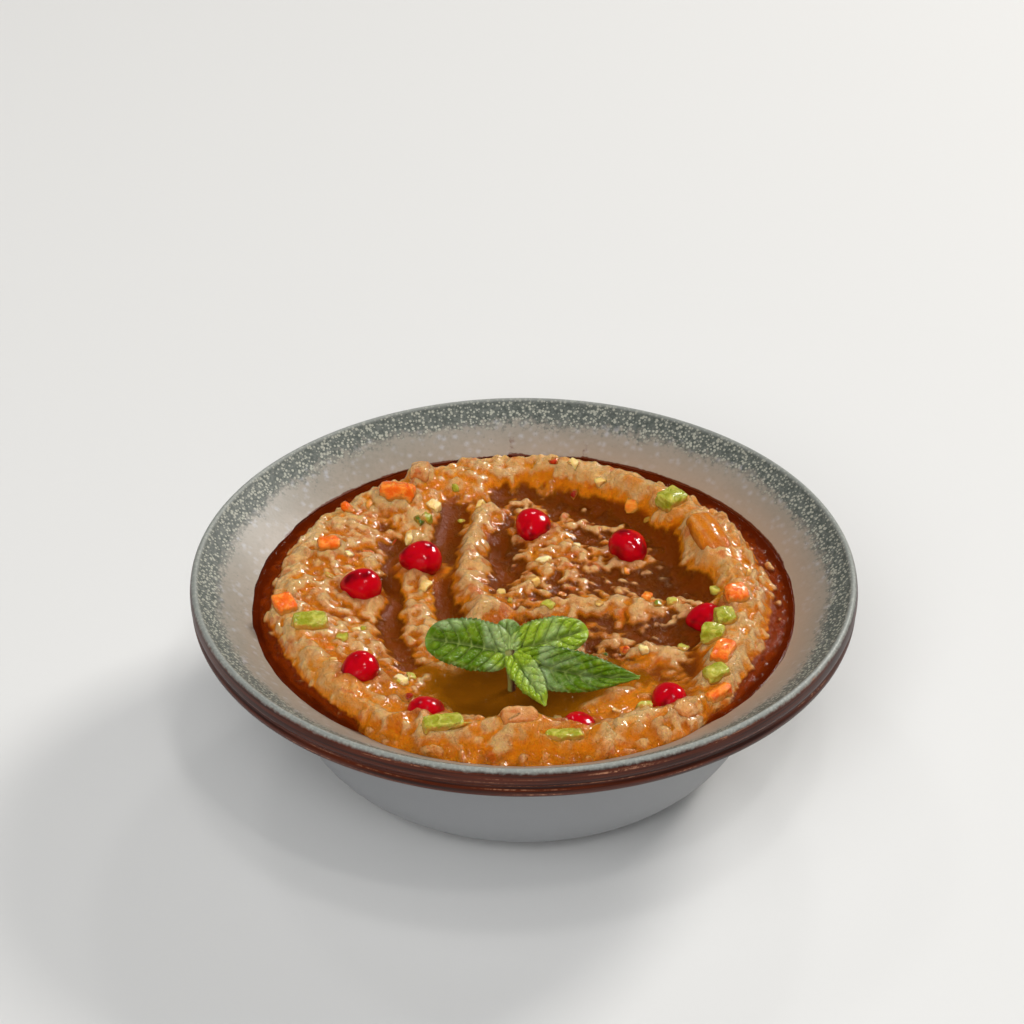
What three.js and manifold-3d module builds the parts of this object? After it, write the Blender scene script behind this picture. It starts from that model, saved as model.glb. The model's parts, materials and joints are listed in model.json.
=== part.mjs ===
/*
 * Baba ganoush in a wide-rimmed stoneware bowl: a spoon-swirled aubergine dip with diced vegetables in it,
 * oil standing round its edge and in its hollow, pomegranate seeds, and a sprig of mint.
 *
 * Millimetres, +Z up. The origin is the centre of the foot ring's resting face. +Y is the back of the bowl as it
 * is served and +X its right-hand side. Bearings are in degrees, counter-clockwise from +X.
 */
import * as THREE from "three";
import { mergeVertices } from "three/addons/utils/BufferGeometryUtils.js";
import Module from "manifold-3d";

const wasm = await Module();
wasm.setup();

// ---------------------------------------------------------------- driving dimensions

const RIM_RADIUS = 80;
const BOWL_HEIGHT = 50;
const FOOT_RADIUS = 38;
const FOOT_WIDTH = 4;
const FOOT_RECESS = 2.5;
const BOWL_FLOOR = 7; // height of the inside floor
const LIP_DEPTH = 7.7; // from the top of the rim down to the lip's lower edge
const FOOD_LINE = new THREE.Vector2(63.7, 39.2); // where the food meets the inside wall: radius, height
const BOWL_SIDES = 54;

const AIR = 0.4; // air left between two pieces that touch
const WALL_AIR = 0.7; // the same against the bowl, whose flats come in a little
const SKIRT_HEIGHT = 38.0; // top of the dip where it meets the wall, under the oil
const FRONT_SKIRT_RISE = 3.2; // how much higher it stands at the front, where it hides the oil
const FRONT = { bearing: -92, half: 22, fade: 18 }; // the front stretch: its middle, half its width and its fade
const MOAT_LEVEL = 40.1; // oil round the edge of the dip
const MOAT_INSIDE = 50; // radius from which the moat is looked for
const MOAT_SPREAD = 1.012; // how much wider than the dip the moat's inside is cut
const POOL_LEVEL = 38.5; // oil in the hollow
const POOL_DEPTH = 6;
const POOL_REACH = 47; // radius out to which the pool is looked for
const HOLLOW_FLOOR = 38.8; // dip's surface in the hollow, before the strokes
const DIP_RINGS = 22;
const UNDER_RINGS = [ // the dip's underside against the well: corners in a ring, and its height
  { count: 72, height: 29 },
  { count: 48, height: 19 },
  { count: 30, height: 12 },
];

// ---------------------------------------------------------------- small tools

/** Smooth step from 0 to 1 as t goes from 0 to 1. */
function ease(t) {
  const c = THREE.MathUtils.clamp(t, 0, 1);
  return c * c * (3 - 2 * c);
}

/** Repeatable random numbers from 0 to 1. */
function randomSource(seed) {
  let state = seed;
  return () => {
    state = (state * 1664525 + 1013904223) % 4294967296;
    return state / 4294967296;
  };
}

/** Smooth noise from -1 to 1 over the plane, with one bump or dip about every unit. */
function noise(x, y) {
  const corner = (i, j) => {
    const s = Math.sin(i * 127.1 + j * 311.7) * 43758.5453;
    return 2 * (s - Math.floor(s)) - 1;
  };
  const i = Math.floor(x);
  const j = Math.floor(y);
  const u = ease(x - i);
  const v = ease(y - j);
  const near = THREE.MathUtils.lerp(corner(i, j), corner(i + 1, j), u);
  const far = THREE.MathUtils.lerp(corner(i, j + 1), corner(i + 1, j + 1), u);
  return THREE.MathUtils.lerp(near, far, v);
}

/** A closed geometry as a solid that can be joined and cut. */
function solidFrom(geometry) {
  const bare = geometry.clone();
  bare.deleteAttribute("normal");
  bare.deleteAttribute("uv");
  const merged = mergeVertices(bare, 1e-4);
  return new wasm.Manifold(
    new wasm.Mesh({
      numProp: 3,
      vertProperties: new Float32Array(merged.attributes.position.array),
      triVerts: new Uint32Array(merged.index.array),
    }),
  );
}

/** A solid back as a geometry with flat faces. */
function geometryFrom(solid) {
  const { numProp, vertProperties, triVerts } = solid.getMesh();
  const corners = [];
  for (const vertex of triVerts) {
    corners.push(...vertProperties.subarray(vertex * numProp, vertex * numProp + 3));
  }
  const geometry = new THREE.BufferGeometry();
  geometry.setAttribute("position", new THREE.Float32BufferAttribute(corners, 3));
  geometry.computeVertexNormals();
  return geometry;
}

/** The largest body of a solid. */
function largestBody(solid) {
  return solid.decompose().reduce((best, body) => (body.volume() > best.volume() ? body : best));
}

/** A profile of radius and height turned round the Z axis. */
function turned(profile, sides) {
  return new THREE.LatheGeometry(profile, sides).rotateX(Math.PI / 2);
}

/** Triangles between two rings of vertices, each { first, count }, that start at the same bearing. */
function zip(index, from, to) {
  let i = 0;
  let j = 0;
  while (i < from.count || j < to.count) {
    const a = from.first + (i % from.count);
    const b = to.first + (j % to.count);
    const alongTo = j < to.count && (i >= from.count || (j + 1) * from.count <= (i + 1) * to.count);
    if (alongTo) {
      j += 1;
      if (to.count > 1) index.push(a, b, to.first + (j % to.count));
    } else {
      i += 1;
      if (from.count > 1) index.push(a, b, from.first + (i % from.count));
    }
  }
}

// ---------------------------------------------------------------- bowl

/** The inside wall from the top of the lip, down a straight flare and a steep well, to the middle of the floor. */
function insideWall() {
  const flareTop = new THREE.Vector2(RIM_RADIUS - 2.3, BOWL_HEIGHT - 0.8);
  const flareSag = new THREE.Vector2(70.8, 43.9);
  const floorEdge = new THREE.Vector2(30, BOWL_FLOOR + 0.4);
  const flare = new THREE.QuadraticBezierCurve(flareTop, flareSag, FOOD_LINE);
  const well = new THREE.CubicBezierCurve(
    FOOD_LINE,
    new THREE.Vector2(61.0, 33.0),
    new THREE.Vector2(56.0, 9.5),
    floorEdge,
  );
  return [...flare.getPoints(3), ...well.getPoints(3).slice(1), new THREE.Vector2(0, BOWL_FLOOR)];
}

/** The lip from its lower edge up to its top: a lower roll, a fine groove and an upper roll. */
function lipOutside() {
  const lowerEdge = BOWL_HEIGHT - LIP_DEPTH;
  return [
    new THREE.Vector2(RIM_RADIUS - 2.4, lowerEdge - 0.1),
    new THREE.Vector2(RIM_RADIUS - 0.8, lowerEdge + 0.4),
    new THREE.Vector2(RIM_RADIUS - 0.2, lowerEdge + 1.8),
    new THREE.Vector2(RIM_RADIUS - 0.7, lowerEdge + 3.1),
    new THREE.Vector2(RIM_RADIUS, lowerEdge + 4.4),
    new THREE.Vector2(RIM_RADIUS - 0.1, lowerEdge + 6.2),
    new THREE.Vector2(RIM_RADIUS - 0.6, lowerEdge + 7.3),
    new THREE.Vector2(RIM_RADIUS - 1.4, BOWL_HEIGHT),
  ];
}

/** The bowl's whole outline, from the middle of the foot's recess round to the middle of the floor. */
function bowlProfile() {
  const body = new THREE.CubicBezierCurve(
    new THREE.Vector2(FOOT_RADIUS + 1.2, 1.6),
    new THREE.Vector2(59.8, 4.2),
    new THREE.Vector2(57.8, 24),
    new THREE.Vector2(66.6, 40.6),
  );
  return [
    new THREE.Vector2(0, FOOT_RECESS),
    new THREE.Vector2(FOOT_RADIUS - FOOT_WIDTH - 1, FOOT_RECESS),
    new THREE.Vector2(FOOT_RADIUS - FOOT_WIDTH, 0),
    new THREE.Vector2(FOOT_RADIUS, 0),
    ...body.getPoints(5),
    ...lipOutside(),
    ...insideWall(),
  ];
}

/** Radius of the inside wall at a height between the floor and the rim. */
function wallRadius(height) {
  const wall = insideWall();
  const upper = wall.findIndex((point) => point.y < height) - 1;
  const share = (wall[upper].y - height) / (wall[upper].y - wall[upper + 1].y);
  return THREE.MathUtils.lerp(wall[upper].x, wall[upper + 1].x, share);
}

// ---------------------------------------------------------------- surface of the dip

/*
 * The raised edge that the spoon left, at some bearings round the bowl: the radius and height of its crest, and
 * how far its inner slope runs down to the hollow.
 */
const CREST = [
  { bearing: -95, radius: 56.5, height: 44.8, slope: 11 },
  { bearing: -68, radius: 58.5, height: 44.0, slope: 9 },
  { bearing: -48, radius: 60.0, height: 43.4, slope: 8 },
  { bearing: -22, radius: 53.5, height: 45.6, slope: 9 },
  { bearing: 8, radius: 51.5, height: 46.2, slope: 8 },
  { bearing: 45, radius: 53.0, height: 46.4, slope: 9 },
  { bearing: 85, radius: 57.5, height: 45.4, slope: 8 },
  { bearing: 125, radius: 58.0, height: 43.8, slope: 22 },
  { bearing: 170, radius: 58.0, height: 43.4, slope: 28 },
  { bearing: 205, radius: 58.0, height: 44.2, slope: 24 },
  { bearing: 235, radius: 58.5, height: 44.2, slope: 14 },
];

/* Ridges (rise above 0), furrows (rise under 0) and mounds in the surface, each along a curve. */
const STROKES = [
  { rise: -3.0, width: 3.0, path: [[-27, -24], [-33, -3], [-31, 24]] },
  { rise: -3.0, width: 2.8, path: [[-17, -8], [-21.5, 14], [-19, 42]] },
  { rise: 1.6, width: 3.4, path: [[-23, -12], [-27, 8], [-25, 34]] },
  { rise: 3.6, width: 3.2, path: [[-13, -8], [-14.5, 14], [-10, 39]] },
  { rise: -1.6, width: 3.2, path: [[-8, 36], [-6, 25], [-3, 12]] },
  { rise: 2.0, width: 6.0, path: [[2, 8], [6, 18], [10, 30]] },
  { rise: 2.6, width: 4.2, path: [[-8, -4], [12, -3], [40, -4]] },
  { rise: 3.4, width: 4.0, path: [[29, -22], [31, -22.5], [34, -23]] },
  { rise: 1.6, width: 5.5, path: [[14, -40], [21, -38], [27, -35]] },
  { rise: -3.6, width: 9.0, path: [[-11, -34], [-3, -36], [6, -35]] },
  { rise: -1.5, width: 4.5, path: [[16, -28], [27, -30], [40, -17]] },
  { rise: -1.4, width: 7.0, path: [[24, 16], [32, 12], [38, 8]] },
  { rise: -2.4, width: 4.0, path: [[11, -55], [13, -56], [15, -57]] },
].map((stroke) => ({
  ...stroke,
  points: new THREE.SplineCurve(stroke.path.map(([x, y]) => new THREE.Vector2(x, y))).getPoints(12),
}));

const LUMP_SIZE = 7;
const LUMP_RISE = 0.9;
const CREST_WOBBLE = 1.1; // how far the crest wanders in and out
const CREST_WAVE = 17; // over how many degrees it does so
const SLOPE_ROUGH = 0.6; // height of the crumbs on the outer slope
const SLOPE_CRUMB = 3.5; // and their size

/** Crest's radius, height and slope at a bearing, eased between the places of CREST. */
function crestAt(bearing) {
  const turnedTo = ((((bearing - CREST[0].bearing) % 360) + 360) % 360) + CREST[0].bearing;
  const next = CREST.findIndex((place) => place.bearing > turnedTo);
  const from = CREST[(next === -1 ? CREST.length : next) - 1];
  const to = next === -1 ? CREST[0] : CREST[next];
  const span = (to.bearing - from.bearing + 360) % 360;
  const share = ease((turnedTo - from.bearing) / span);
  const between = (key) => THREE.MathUtils.lerp(from[key], to[key], share);
  return { radius: between("radius"), height: between("height"), slope: between("slope") };
}

/** Distance from a place to a curve given as points. */
function distanceTo(points, place) {
  const near = new THREE.Vector2();
  let best = Infinity;
  for (let i = 1; i < points.length; i += 1) {
    const along = new THREE.Vector2().subVectors(points[i], points[i - 1]);
    const reach = near.subVectors(place, points[i - 1]).dot(along) / along.lengthSq();
    near.copy(points[i - 1]).addScaledVector(along, THREE.MathUtils.clamp(reach, 0, 1));
    best = Math.min(best, near.distanceTo(place));
  }
  return best;
}

/** Height of the dip's edge at the wall, at a bearing: higher at the front. */
function skirtHeight(bearing) {
  const fromFront = Math.abs(((bearing - FRONT.bearing + 540) % 360) - 180);
  return SKIRT_HEIGHT + FRONT_SKIRT_RISE * (1 - ease((fromFront - FRONT.half) / FRONT.fade));
}

/** Height of the dip's surface. */
function surfaceHeight(x, y) {
  const radius = Math.hypot(x, y);
  const bearing = THREE.MathUtils.radToDeg(Math.atan2(y, x));
  const crest = crestAt(bearing);
  const crestRadius = crest.radius + CREST_WOBBLE * noise(bearing / CREST_WAVE, 3.5);
  if (radius > crestRadius) {
    const skirt = skirtHeight(bearing);
    const edge = wallRadius(skirt) - WALL_AIR;
    const down = ease(((radius - crestRadius) / (edge - crestRadius)) * 1.12 - 0.06);
    const rough = SLOPE_ROUGH * noise(x / SLOPE_CRUMB, y / SLOPE_CRUMB) * (1 - down);
    return THREE.MathUtils.lerp(crest.height, skirt, down) + rough;
  }
  const inward = (crestRadius - radius) / crest.slope;
  const down = ease(inward) * (0.35 + 0.65 * THREE.MathUtils.clamp(inward, 0, 1));
  let height = THREE.MathUtils.lerp(crest.height, HOLLOW_FLOOR, down);
  const place = new THREE.Vector2(x, y);
  for (const { rise, width, points } of STROKES) {
    height += rise * Math.exp(-((distanceTo(points, place) / width) ** 2));
  }
  const lumps = noise(x / LUMP_SIZE, y / LUMP_SIZE) + 0.5 * noise((2 * x) / LUMP_SIZE + 9, (2 * y) / LUMP_SIZE);
  return height + LUMP_RISE * lumps * ease(radius < 1 ? 1 : (crestRadius - radius + 6) / 12);
}

/** The dip before anything is pressed into it: rings of vertices, closed under by the inside of the bowl. */
function plainDip() {
  const positions = [];
  const rings = [];
  const addRing = (count, placeAt) => {
    rings.push({ first: positions.length / 3, count });
    for (let i = 0; i < count; i += 1) positions.push(...placeAt((i / count) * 2 * Math.PI));
  };
  const level = (radius, height) => (angle) => [radius * Math.cos(angle), radius * Math.sin(angle), height];
  const skirtAt = (angle) => skirtHeight(THREE.MathUtils.radToDeg(angle));
  for (let ring = 0; ring <= DIP_RINGS; ring += 1) {
    addRing(Math.max(1, 6 * ring), (angle) => {
      const skirt = skirtAt(angle);
      const radius = ((wallRadius(skirt) - WALL_AIR) * ring) / DIP_RINGS;
      const x = radius * Math.cos(angle);
      const y = radius * Math.sin(angle);
      return [x, y, ring === DIP_RINGS ? skirt : surfaceHeight(x, y)];
    });
  }
  addRing(6 * DIP_RINGS, (angle) => {
    const height = Math.min(skirtAt(angle) - 1, FOOD_LINE.y);
    return level(wallRadius(height) - 2 * WALL_AIR, height)(angle);
  });
  for (const { count, height } of UNDER_RINGS) {
    addRing(count, level(wallRadius(height) - 2 * WALL_AIR, height));
  }
  addRing(1, level(0, BOWL_FLOOR + WALL_AIR));
  const index = [];
  for (let i = 1; i < rings.length; i += 1) zip(index, rings[i - 1], rings[i]);
  const geometry = new THREE.BufferGeometry();
  geometry.setAttribute("position", new THREE.Float32BufferAttribute(positions, 3));
  geometry.setIndex(index);
  return geometry;
}

// ---------------------------------------------------------------- toppings

/** A geometry turned about Z, tipped, and set down with its centre a little above or under the dip's surface. */
function setOnDip(geometry, { at: [x, y], turn = 0, tip = 0, lift = 0 }) {
  return geometry
    .rotateX(THREE.MathUtils.degToRad(tip))
    .rotateZ(THREE.MathUtils.degToRad(turn))
    .translate(x, y, surfaceHeight(x, y) + lift);
}

const SEED_LENGTH = 10.2;
const SEED_WIDTH = 8.4;

/* Pomegranate seeds: place, bearing of the pointed end, how far that end is tipped up, and the size's share. */
const SEEDS = [
  { at: [-25.5, 14.5], turn: 100, tip: 12, lift: 1.9, size: 1.1 },
  { at: [-39.5, 2.5], turn: 80, tip: 0, lift: 1.2, size: 1.05 },
  { at: [-38, -35], turn: 130, tip: -10, lift: 0.6, size: 1.0 },
  { at: [-22, -48], turn: 310, tip: -14, lift: -0.6, size: 0.95 },
  { at: [2, 31], turn: 170, tip: 5, lift: 1.8, size: 1.08 },
  { at: [26, 22], turn: 215, tip: 5, lift: 2.6, size: 1.12 },
  { at: [43.2, -9], turn: 85, tip: -8, lift: 0.8, size: 0.95 },
  { at: [33.2, -40.3], turn: 20, tip: 6, lift: 0.9, size: 0.98 },
  { at: [12.5, -52], turn: 190, tip: 0, lift: -1.2, size: 0.95 },
];

/** A pomegranate seed: a blunt drop with three soft flats, its point along its own +Y. Inflated, it is coarser. */
function seedGeometry({ size }, inflate = 0) {
  const geometry = new THREE.IcosahedronGeometry(1, inflate > 0 ? 1 : 2);
  const position = geometry.attributes.position;
  const point = new THREE.Vector3();
  for (let i = 0; i < position.count; i += 1) {
    point.fromBufferAttribute(position, i);
    const bearing = Math.atan2(point.z, point.x);
    const flats = 1 - 0.07 * Math.cos(3 * bearing + 0.6) * (1 - point.y * point.y);
    const taper = 1 - 0.2 * point.y - 0.06 * point.y * point.y;
    const across = (SEED_WIDTH / 2) * size * taper * flats + inflate;
    const along = (SEED_LENGTH / 2) * size + inflate;
    position.setXYZ(i, point.x * across, point.y * along, point.z * across);
  }
  return geometry;
}

const DICE_KNOCK = 0.18; // how far a dice's corners are out of true
const DICE_ROUND = 0.42; // how much the corners are pulled in

/* Diced vegetables large enough to pick out: kind, place, size along X, Y and Z, turn, tip and lift. */
const DICE = [
  { name: "carrot_back_left", at: [-32, 41], size: [9, 6, 5], turn: -8, tip: -20, lift: 1.2 },
  { name: "carrot_left_cube", at: [-48, 17.5], size: [5.5, 4.5, 4], turn: 10, tip: 5, lift: 0.6 },
  { name: "carrot_left_edge", at: [-57, -9], size: [5, 6, 4.5], turn: 25, tip: 10, lift: 0.5 },
  { name: "carrot_right", at: [50.5, -7.5], size: [5.5, 6, 4], turn: 15, tip: 0, lift: 0.5 },
  { name: "carrot_right_slope", at: [46.2, -28.6], size: [4.5, 7.5, 4], turn: -25, tip: 5, lift: 0.4 },
  { name: "carrot_front_right", at: [44.5, -41.5], size: [7.5, 3, 3.4], turn: 45, tip: 0, lift: 0.6 },
  { name: "pepper_back_right", at: [45.5, 19], size: [7.5, 16, 7], turn: 18, tip: 4, lift: -0.6 },
  { name: "celery_back_right", at: [37, 34.5], size: [6.5, 6, 4.5], turn: 40, tip: 0, lift: 1.0 },
  { name: "celery_left", at: [-50.5, -16], size: [8.5, 5.5, 4], turn: 8, tip: 5, lift: 0.3 },
  { name: "celery_right_upper", at: [47.5, -15.2], size: [5, 5.5, 4.5], turn: 10, tip: 0, lift: 1.0 },
  { name: "celery_right_lower", at: [44.3, -21.2], size: [5.5, 4.5, 4.5], turn: -15, tip: 0, lift: 1.5 },
  { name: "celery_right_front", at: [44.2, -35.9], size: [6, 4.2, 4], turn: 30, tip: 5, lift: 0.6 },
  { name: "celery_front_strip", at: [9, -59.5], size: [9, 3, 3.2], turn: 6, tip: 0, lift: 0.4 },
  { name: "celery_front_left", at: [-18, -56.5], size: [9.5, 4.5, 3.5], turn: 14, tip: 0, lift: 0.6 },
  { name: "onion_front_right", at: [36.4, -48.6], size: [5, 5, 5.5], turn: -35, tip: 8, lift: 0.3 },
  { name: "onion_front", at: [-1, -55.5], size: [8.5, 5.5, 4.5], turn: 10, tip: 10, lift: 0.8 },
  { name: "onion_back", at: [-26.5, 50], size: [5, 7, 5], turn: -5, tip: -15, lift: 0.9 },
];

/** A plain box round a diced piece, with air between them. */
function diceSocket({ size }) {
  return new THREE.BoxGeometry(...size.map((side) => side + 2 * (DICE_KNOCK + AIR)));
}

/** A diced piece: a box with its corners pulled in and knocked about. */
function diceGeometry({ at, size }, cuts = 2) {
  const random = randomSource(Math.round(5000 + 17 * at[0] + 31 * at[1]));
  const geometry = mergeVertices(
    new THREE.BoxGeometry(1, 1, 1, cuts, cuts, cuts).deleteAttribute("normal").deleteAttribute("uv"),
  );
  const position = geometry.attributes.position;
  const point = new THREE.Vector3();
  for (let i = 0; i < position.count; i += 1) {
    point.fromBufferAttribute(position, i);
    const round = 1 - DICE_ROUND * Math.max(0, point.length() - 0.5);
    const knock = () => 2 * DICE_KNOCK * (random() - 0.5);
    position.setXYZ(
      i,
      point.x * round * size[0] + knock(),
      point.y * round * size[1] + knock(),
      point.z * round * size[2] + knock(),
    );
  }
  return geometry;
}

// ---------------------------------------------------------------- mint

const SPRIG_FOOT = new THREE.Vector3(-2.6, -35.2, 33);
const SPRIG_TOP = new THREE.Vector3(-3.3, -33, 48.4);
const STEM_RADIUS = 0.95;
const LEAF_THICKNESS = 0.5;
const LEAF_STEPS = 8;
const LEAF_LANES = 4;
const LEAF_FOLD = 0.3; // rise of the margins above the midrib, as a share of the width
const LEAF_WAVE = 0.4; // rise of the margin's waves
const LEAF_DROP = 0.6; // how far under the stem's top the leaves start

/*
 * Leaves of the sprig: bearing and climb of the midrib in degrees, roll of the blade about it (above 0 turns
 * the face to the front), the length and width, how far the tip bends down and sweeps to the blade's left, and
 * how pointed the blade is.
 */
const LEAVES = [
  { bearing: 180, climb: 14, roll: -42, length: 19.5, width: 12.5, bend: 2.2, sweep: 0, point: 0.42 },
  { bearing: 14, climb: 12, roll: 38, length: 19, width: 11, bend: 1.8, sweep: 0, point: 0.5 },
  { bearing: -24, climb: -14, roll: 42, length: 30, width: 11, bend: -4, sweep: 7.5, point: 0.9 },
  { bearing: -58, climb: -16, roll: 12, length: 16, width: 7.5, bend: 1, sweep: 0, point: 0.7 },
  { bearing: 98, climb: 44, roll: 0, length: 8, width: 7, bend: 0.3, sweep: 0, point: 0.45 },
];

/** Half-width of a leaf of width 1 at a share of its length: egg-shaped, pointed or blunt. */
function leafOutline(share, point) {
  return 0.5 * Math.max(0.07, Math.sin(Math.PI * share ** 0.82) ** point);
}

/** A leaf along +X from the origin: a thin blade, folded along its midrib, with a wavy margin. */
function leafGeometry({ length, width, bend, sweep, point }) {
  const positions = [];
  for (const side of [1, -1]) {
    for (let i = 0; i <= LEAF_STEPS; i += 1) {
      const share = i / LEAF_STEPS;
      const half = leafOutline(share, point);
      for (let j = 0; j <= LEAF_LANES; j += 1) {
        const across = (2 * j) / LEAF_LANES - 1;
        const fold = LEAF_FOLD * width * Math.abs(across) * half;
        const waves = across * across * Math.sin(share * 19 + across * 2) * Math.sin(Math.PI * share);
        positions.push(
          length * share,
          width * half * across + sweep * share * share,
          fold + LEAF_WAVE * waves - bend * share * share + (side * LEAF_THICKNESS) / 2,
        );
      }
    }
  }
  const row = LEAF_LANES + 1;
  const sheet = row * (LEAF_STEPS + 1);
  const index = [];
  const quad = (a, b, c, d) => index.push(a, b, c, a, c, d);
  for (let i = 0; i < LEAF_STEPS; i += 1) {
    for (let j = 0; j < LEAF_LANES; j += 1) {
      const a = i * row + j;
      quad(a, a + row, a + row + 1, a + 1);
      index.push(sheet + a, sheet + a + row + 1, sheet + a + row, sheet + a, sheet + a + 1, sheet + a + row + 1);
    }
    quad(i * row, sheet + i * row, sheet + (i + 1) * row, (i + 1) * row);
    const far = i * row + LEAF_LANES;
    quad(far, far + row, sheet + far + row, sheet + far);
  }
  for (let j = 0; j < LEAF_LANES; j += 1) {
    quad(j + 1, sheet + j + 1, sheet + j, j);
    const tip = LEAF_STEPS * row + j;
    quad(tip, sheet + tip, sheet + tip + 1, tip + 1);
  }
  const geometry = new THREE.BufferGeometry();
  geometry.setAttribute("position", new THREE.Float32BufferAttribute(positions, 3));
  geometry.setIndex(index);
  return geometry;
}

/** The stem from its foot, in the dip, to just past the leaves. */
function stemGeometry(inflate = 0) {
  const axis = new THREE.Vector3().subVectors(SPRIG_TOP, SPRIG_FOOT).normalize();
  const line = new THREE.LineCurve3(SPRIG_FOOT.clone().addScaledVector(axis, -inflate), SPRIG_TOP);
  const section = new THREE.Shape().absarc(0, 0, STEM_RADIUS + inflate, 0, 2 * Math.PI);
  return new THREE.ExtrudeGeometry(section, { extrudePath: line, steps: 3, curveSegments: 4 });
}

/** The whole sprig in one piece. */
function sprig() {
  let solid = solidFrom(stemGeometry());
  for (const leaf of LEAVES) {
    const blade = leafGeometry(leaf)
      .rotateX(THREE.MathUtils.degToRad(leaf.roll))
      .rotateY(THREE.MathUtils.degToRad(-leaf.climb))
      .rotateZ(THREE.MathUtils.degToRad(leaf.bearing))
      .translate(SPRIG_TOP.x, SPRIG_TOP.y, SPRIG_TOP.z - LEAF_DROP);
    solid = solid.add(solidFrom(blade));
  }
  return largestBody(solid);
}

// ---------------------------------------------------------------- small bits fused to the dip

const BITS = 30;
const BIT_SIZES = [2.4, 3.6];
const BIT_REACH = 59; // radius out to which they lie
const BIT_SPACING = 5; // least distance between two of them

/** True where a bit of that size stays clear of every topping, the stem and the oil. */
function clearOfToppings(x, y, size) {
  const near = (at, reach) => Math.hypot(x - at[0], y - at[1]) < reach + size;
  const radius = Math.hypot(x, y);
  const oil = radius > MOAT_INSIDE ? MOAT_LEVEL : POOL_LEVEL;
  const outward = 1 + (1.5 * size) / (radius + size);
  if (Math.min(surfaceHeight(x, y), surfaceHeight(x * outward, y * outward)) < oil + 1) return false;
  if (SEEDS.some(({ at }) => near(at, SEED_LENGTH / 2))) return false;
  if (DICE.some((dice) => near(dice.at, Math.max(...dice.size) / 2))) return false;
  return !near([SPRIG_FOOT.x, SPRIG_FOOT.y], STEM_RADIUS + 1);
}

/** Small dice scattered over the dip by a seeded draw, half sunk in it. */
function bits() {
  const random = randomSource(41);
  const found = [];
  while (found.length < BITS) {
    const radius = BIT_REACH * Math.sqrt(random());
    const angle = 2 * Math.PI * random();
    const at = [radius * Math.cos(angle), radius * Math.sin(angle)];
    const size = THREE.MathUtils.lerp(BIT_SIZES[0], BIT_SIZES[1], random());
    const apart = found.every((bit) => Math.hypot(bit.at[0] - at[0], bit.at[1] - at[1]) > BIT_SPACING);
    if (!apart || !clearOfToppings(at[0], at[1], size)) continue;
    const proportions = [size, size * (0.6 + 0.4 * random()), size * 0.8];
    found.push({ at, size: proportions, turn: 360 * random(), tip: 30 * (random() - 0.5), lift: 0.3 });
  }
  return found;
}

// ---------------------------------------------------------------- assembly

const finishes = {
  glaze: new THREE.MeshStandardMaterial({ color: 0xb9bab2, roughness: 0.35, metalness: 0 }),
  dip: new THREE.MeshStandardMaterial({ color: 0xc98a45, roughness: 0.4, metalness: 0 }),
  oil: new THREE.MeshStandardMaterial({ color: 0x8a4a12, roughness: 0.1, metalness: 0 }),
  pomegranate: new THREE.MeshStandardMaterial({ color: 0xb00822, roughness: 0.15, metalness: 0 }),
  carrot: new THREE.MeshStandardMaterial({ color: 0xe0701c, roughness: 0.35, metalness: 0 }),
  pepper: new THREE.MeshStandardMaterial({ color: 0xe0882a, roughness: 0.3, metalness: 0 }),
  celery: new THREE.MeshStandardMaterial({ color: 0xa3a63a, roughness: 0.35, metalness: 0 }),
  onion: new THREE.MeshStandardMaterial({ color: 0xe3c894, roughness: 0.35, metalness: 0 }),
  mint: new THREE.MeshStandardMaterial({ color: 0x4f8a2a, roughness: 0.5, metalness: 0 }),
};

const dish = new THREE.Group();

/** Adds a named piece to the dish. */
function addPiece(name, geometry, finish) {
  const mesh = new THREE.Mesh(geometry, finishes[finish]);
  mesh.name = name;
  dish.add(mesh);
}

/** A solid with a socket pressed into it for each topping, and only its largest body kept. */
function pressed(solid) {
  let left = solid.subtract(solidFrom(stemGeometry(AIR)));
  for (const seed of SEEDS) left = left.subtract(solidFrom(setOnDip(seedGeometry(seed, 2 * AIR), seed)));
  for (const dice of DICE) left = left.subtract(solidFrom(setOnDip(diceSocket(dice), dice)));
  return largestBody(left);
}

/** The dip with small bits fused on. */
function dipWithBits() {
  let solid = solidFrom(plainDip());
  for (const bit of bits()) solid = solid.add(solidFrom(setOnDip(diceGeometry(bit, 1), bit)));
  return solid;
}

/** The largest body of oil inside an outline of radius and height, clear of the dip and the toppings. */
function oilIn(profile, spread = 1) {
  const underneath = plainDip().scale(spread, spread, 1).translate(0, 0, 1.25 * AIR);
  return pressed(solidFrom(turned(profile, BOWL_SIDES)).subtract(solidFrom(underneath)));
}

addPiece("bowl", turned(bowlProfile(), BOWL_SIDES), "glaze");

addPiece("dip", geometryFrom(pressed(dipWithBits())), "dip");

const moatFloor = SKIRT_HEIGHT + 1.2 * AIR;
const moatProfile = [
  new THREE.Vector2(MOAT_INSIDE, moatFloor),
  new THREE.Vector2(wallRadius(moatFloor) - WALL_AIR, moatFloor),
  new THREE.Vector2(FOOD_LINE.x - WALL_AIR, FOOD_LINE.y),
  new THREE.Vector2(wallRadius(MOAT_LEVEL) - WALL_AIR, MOAT_LEVEL),
  new THREE.Vector2(MOAT_INSIDE, MOAT_LEVEL),
  new THREE.Vector2(MOAT_INSIDE, moatFloor),
];
addPiece("oil_moat", geometryFrom(oilIn(moatProfile, MOAT_SPREAD)), "oil");

const poolProfile = [
  new THREE.Vector2(0, POOL_LEVEL - POOL_DEPTH),
  new THREE.Vector2(POOL_REACH, POOL_LEVEL - POOL_DEPTH),
  new THREE.Vector2(POOL_REACH, POOL_LEVEL),
  new THREE.Vector2(0, POOL_LEVEL),
];
addPiece("oil_pool", geometryFrom(oilIn(poolProfile)), "oil");

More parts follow.
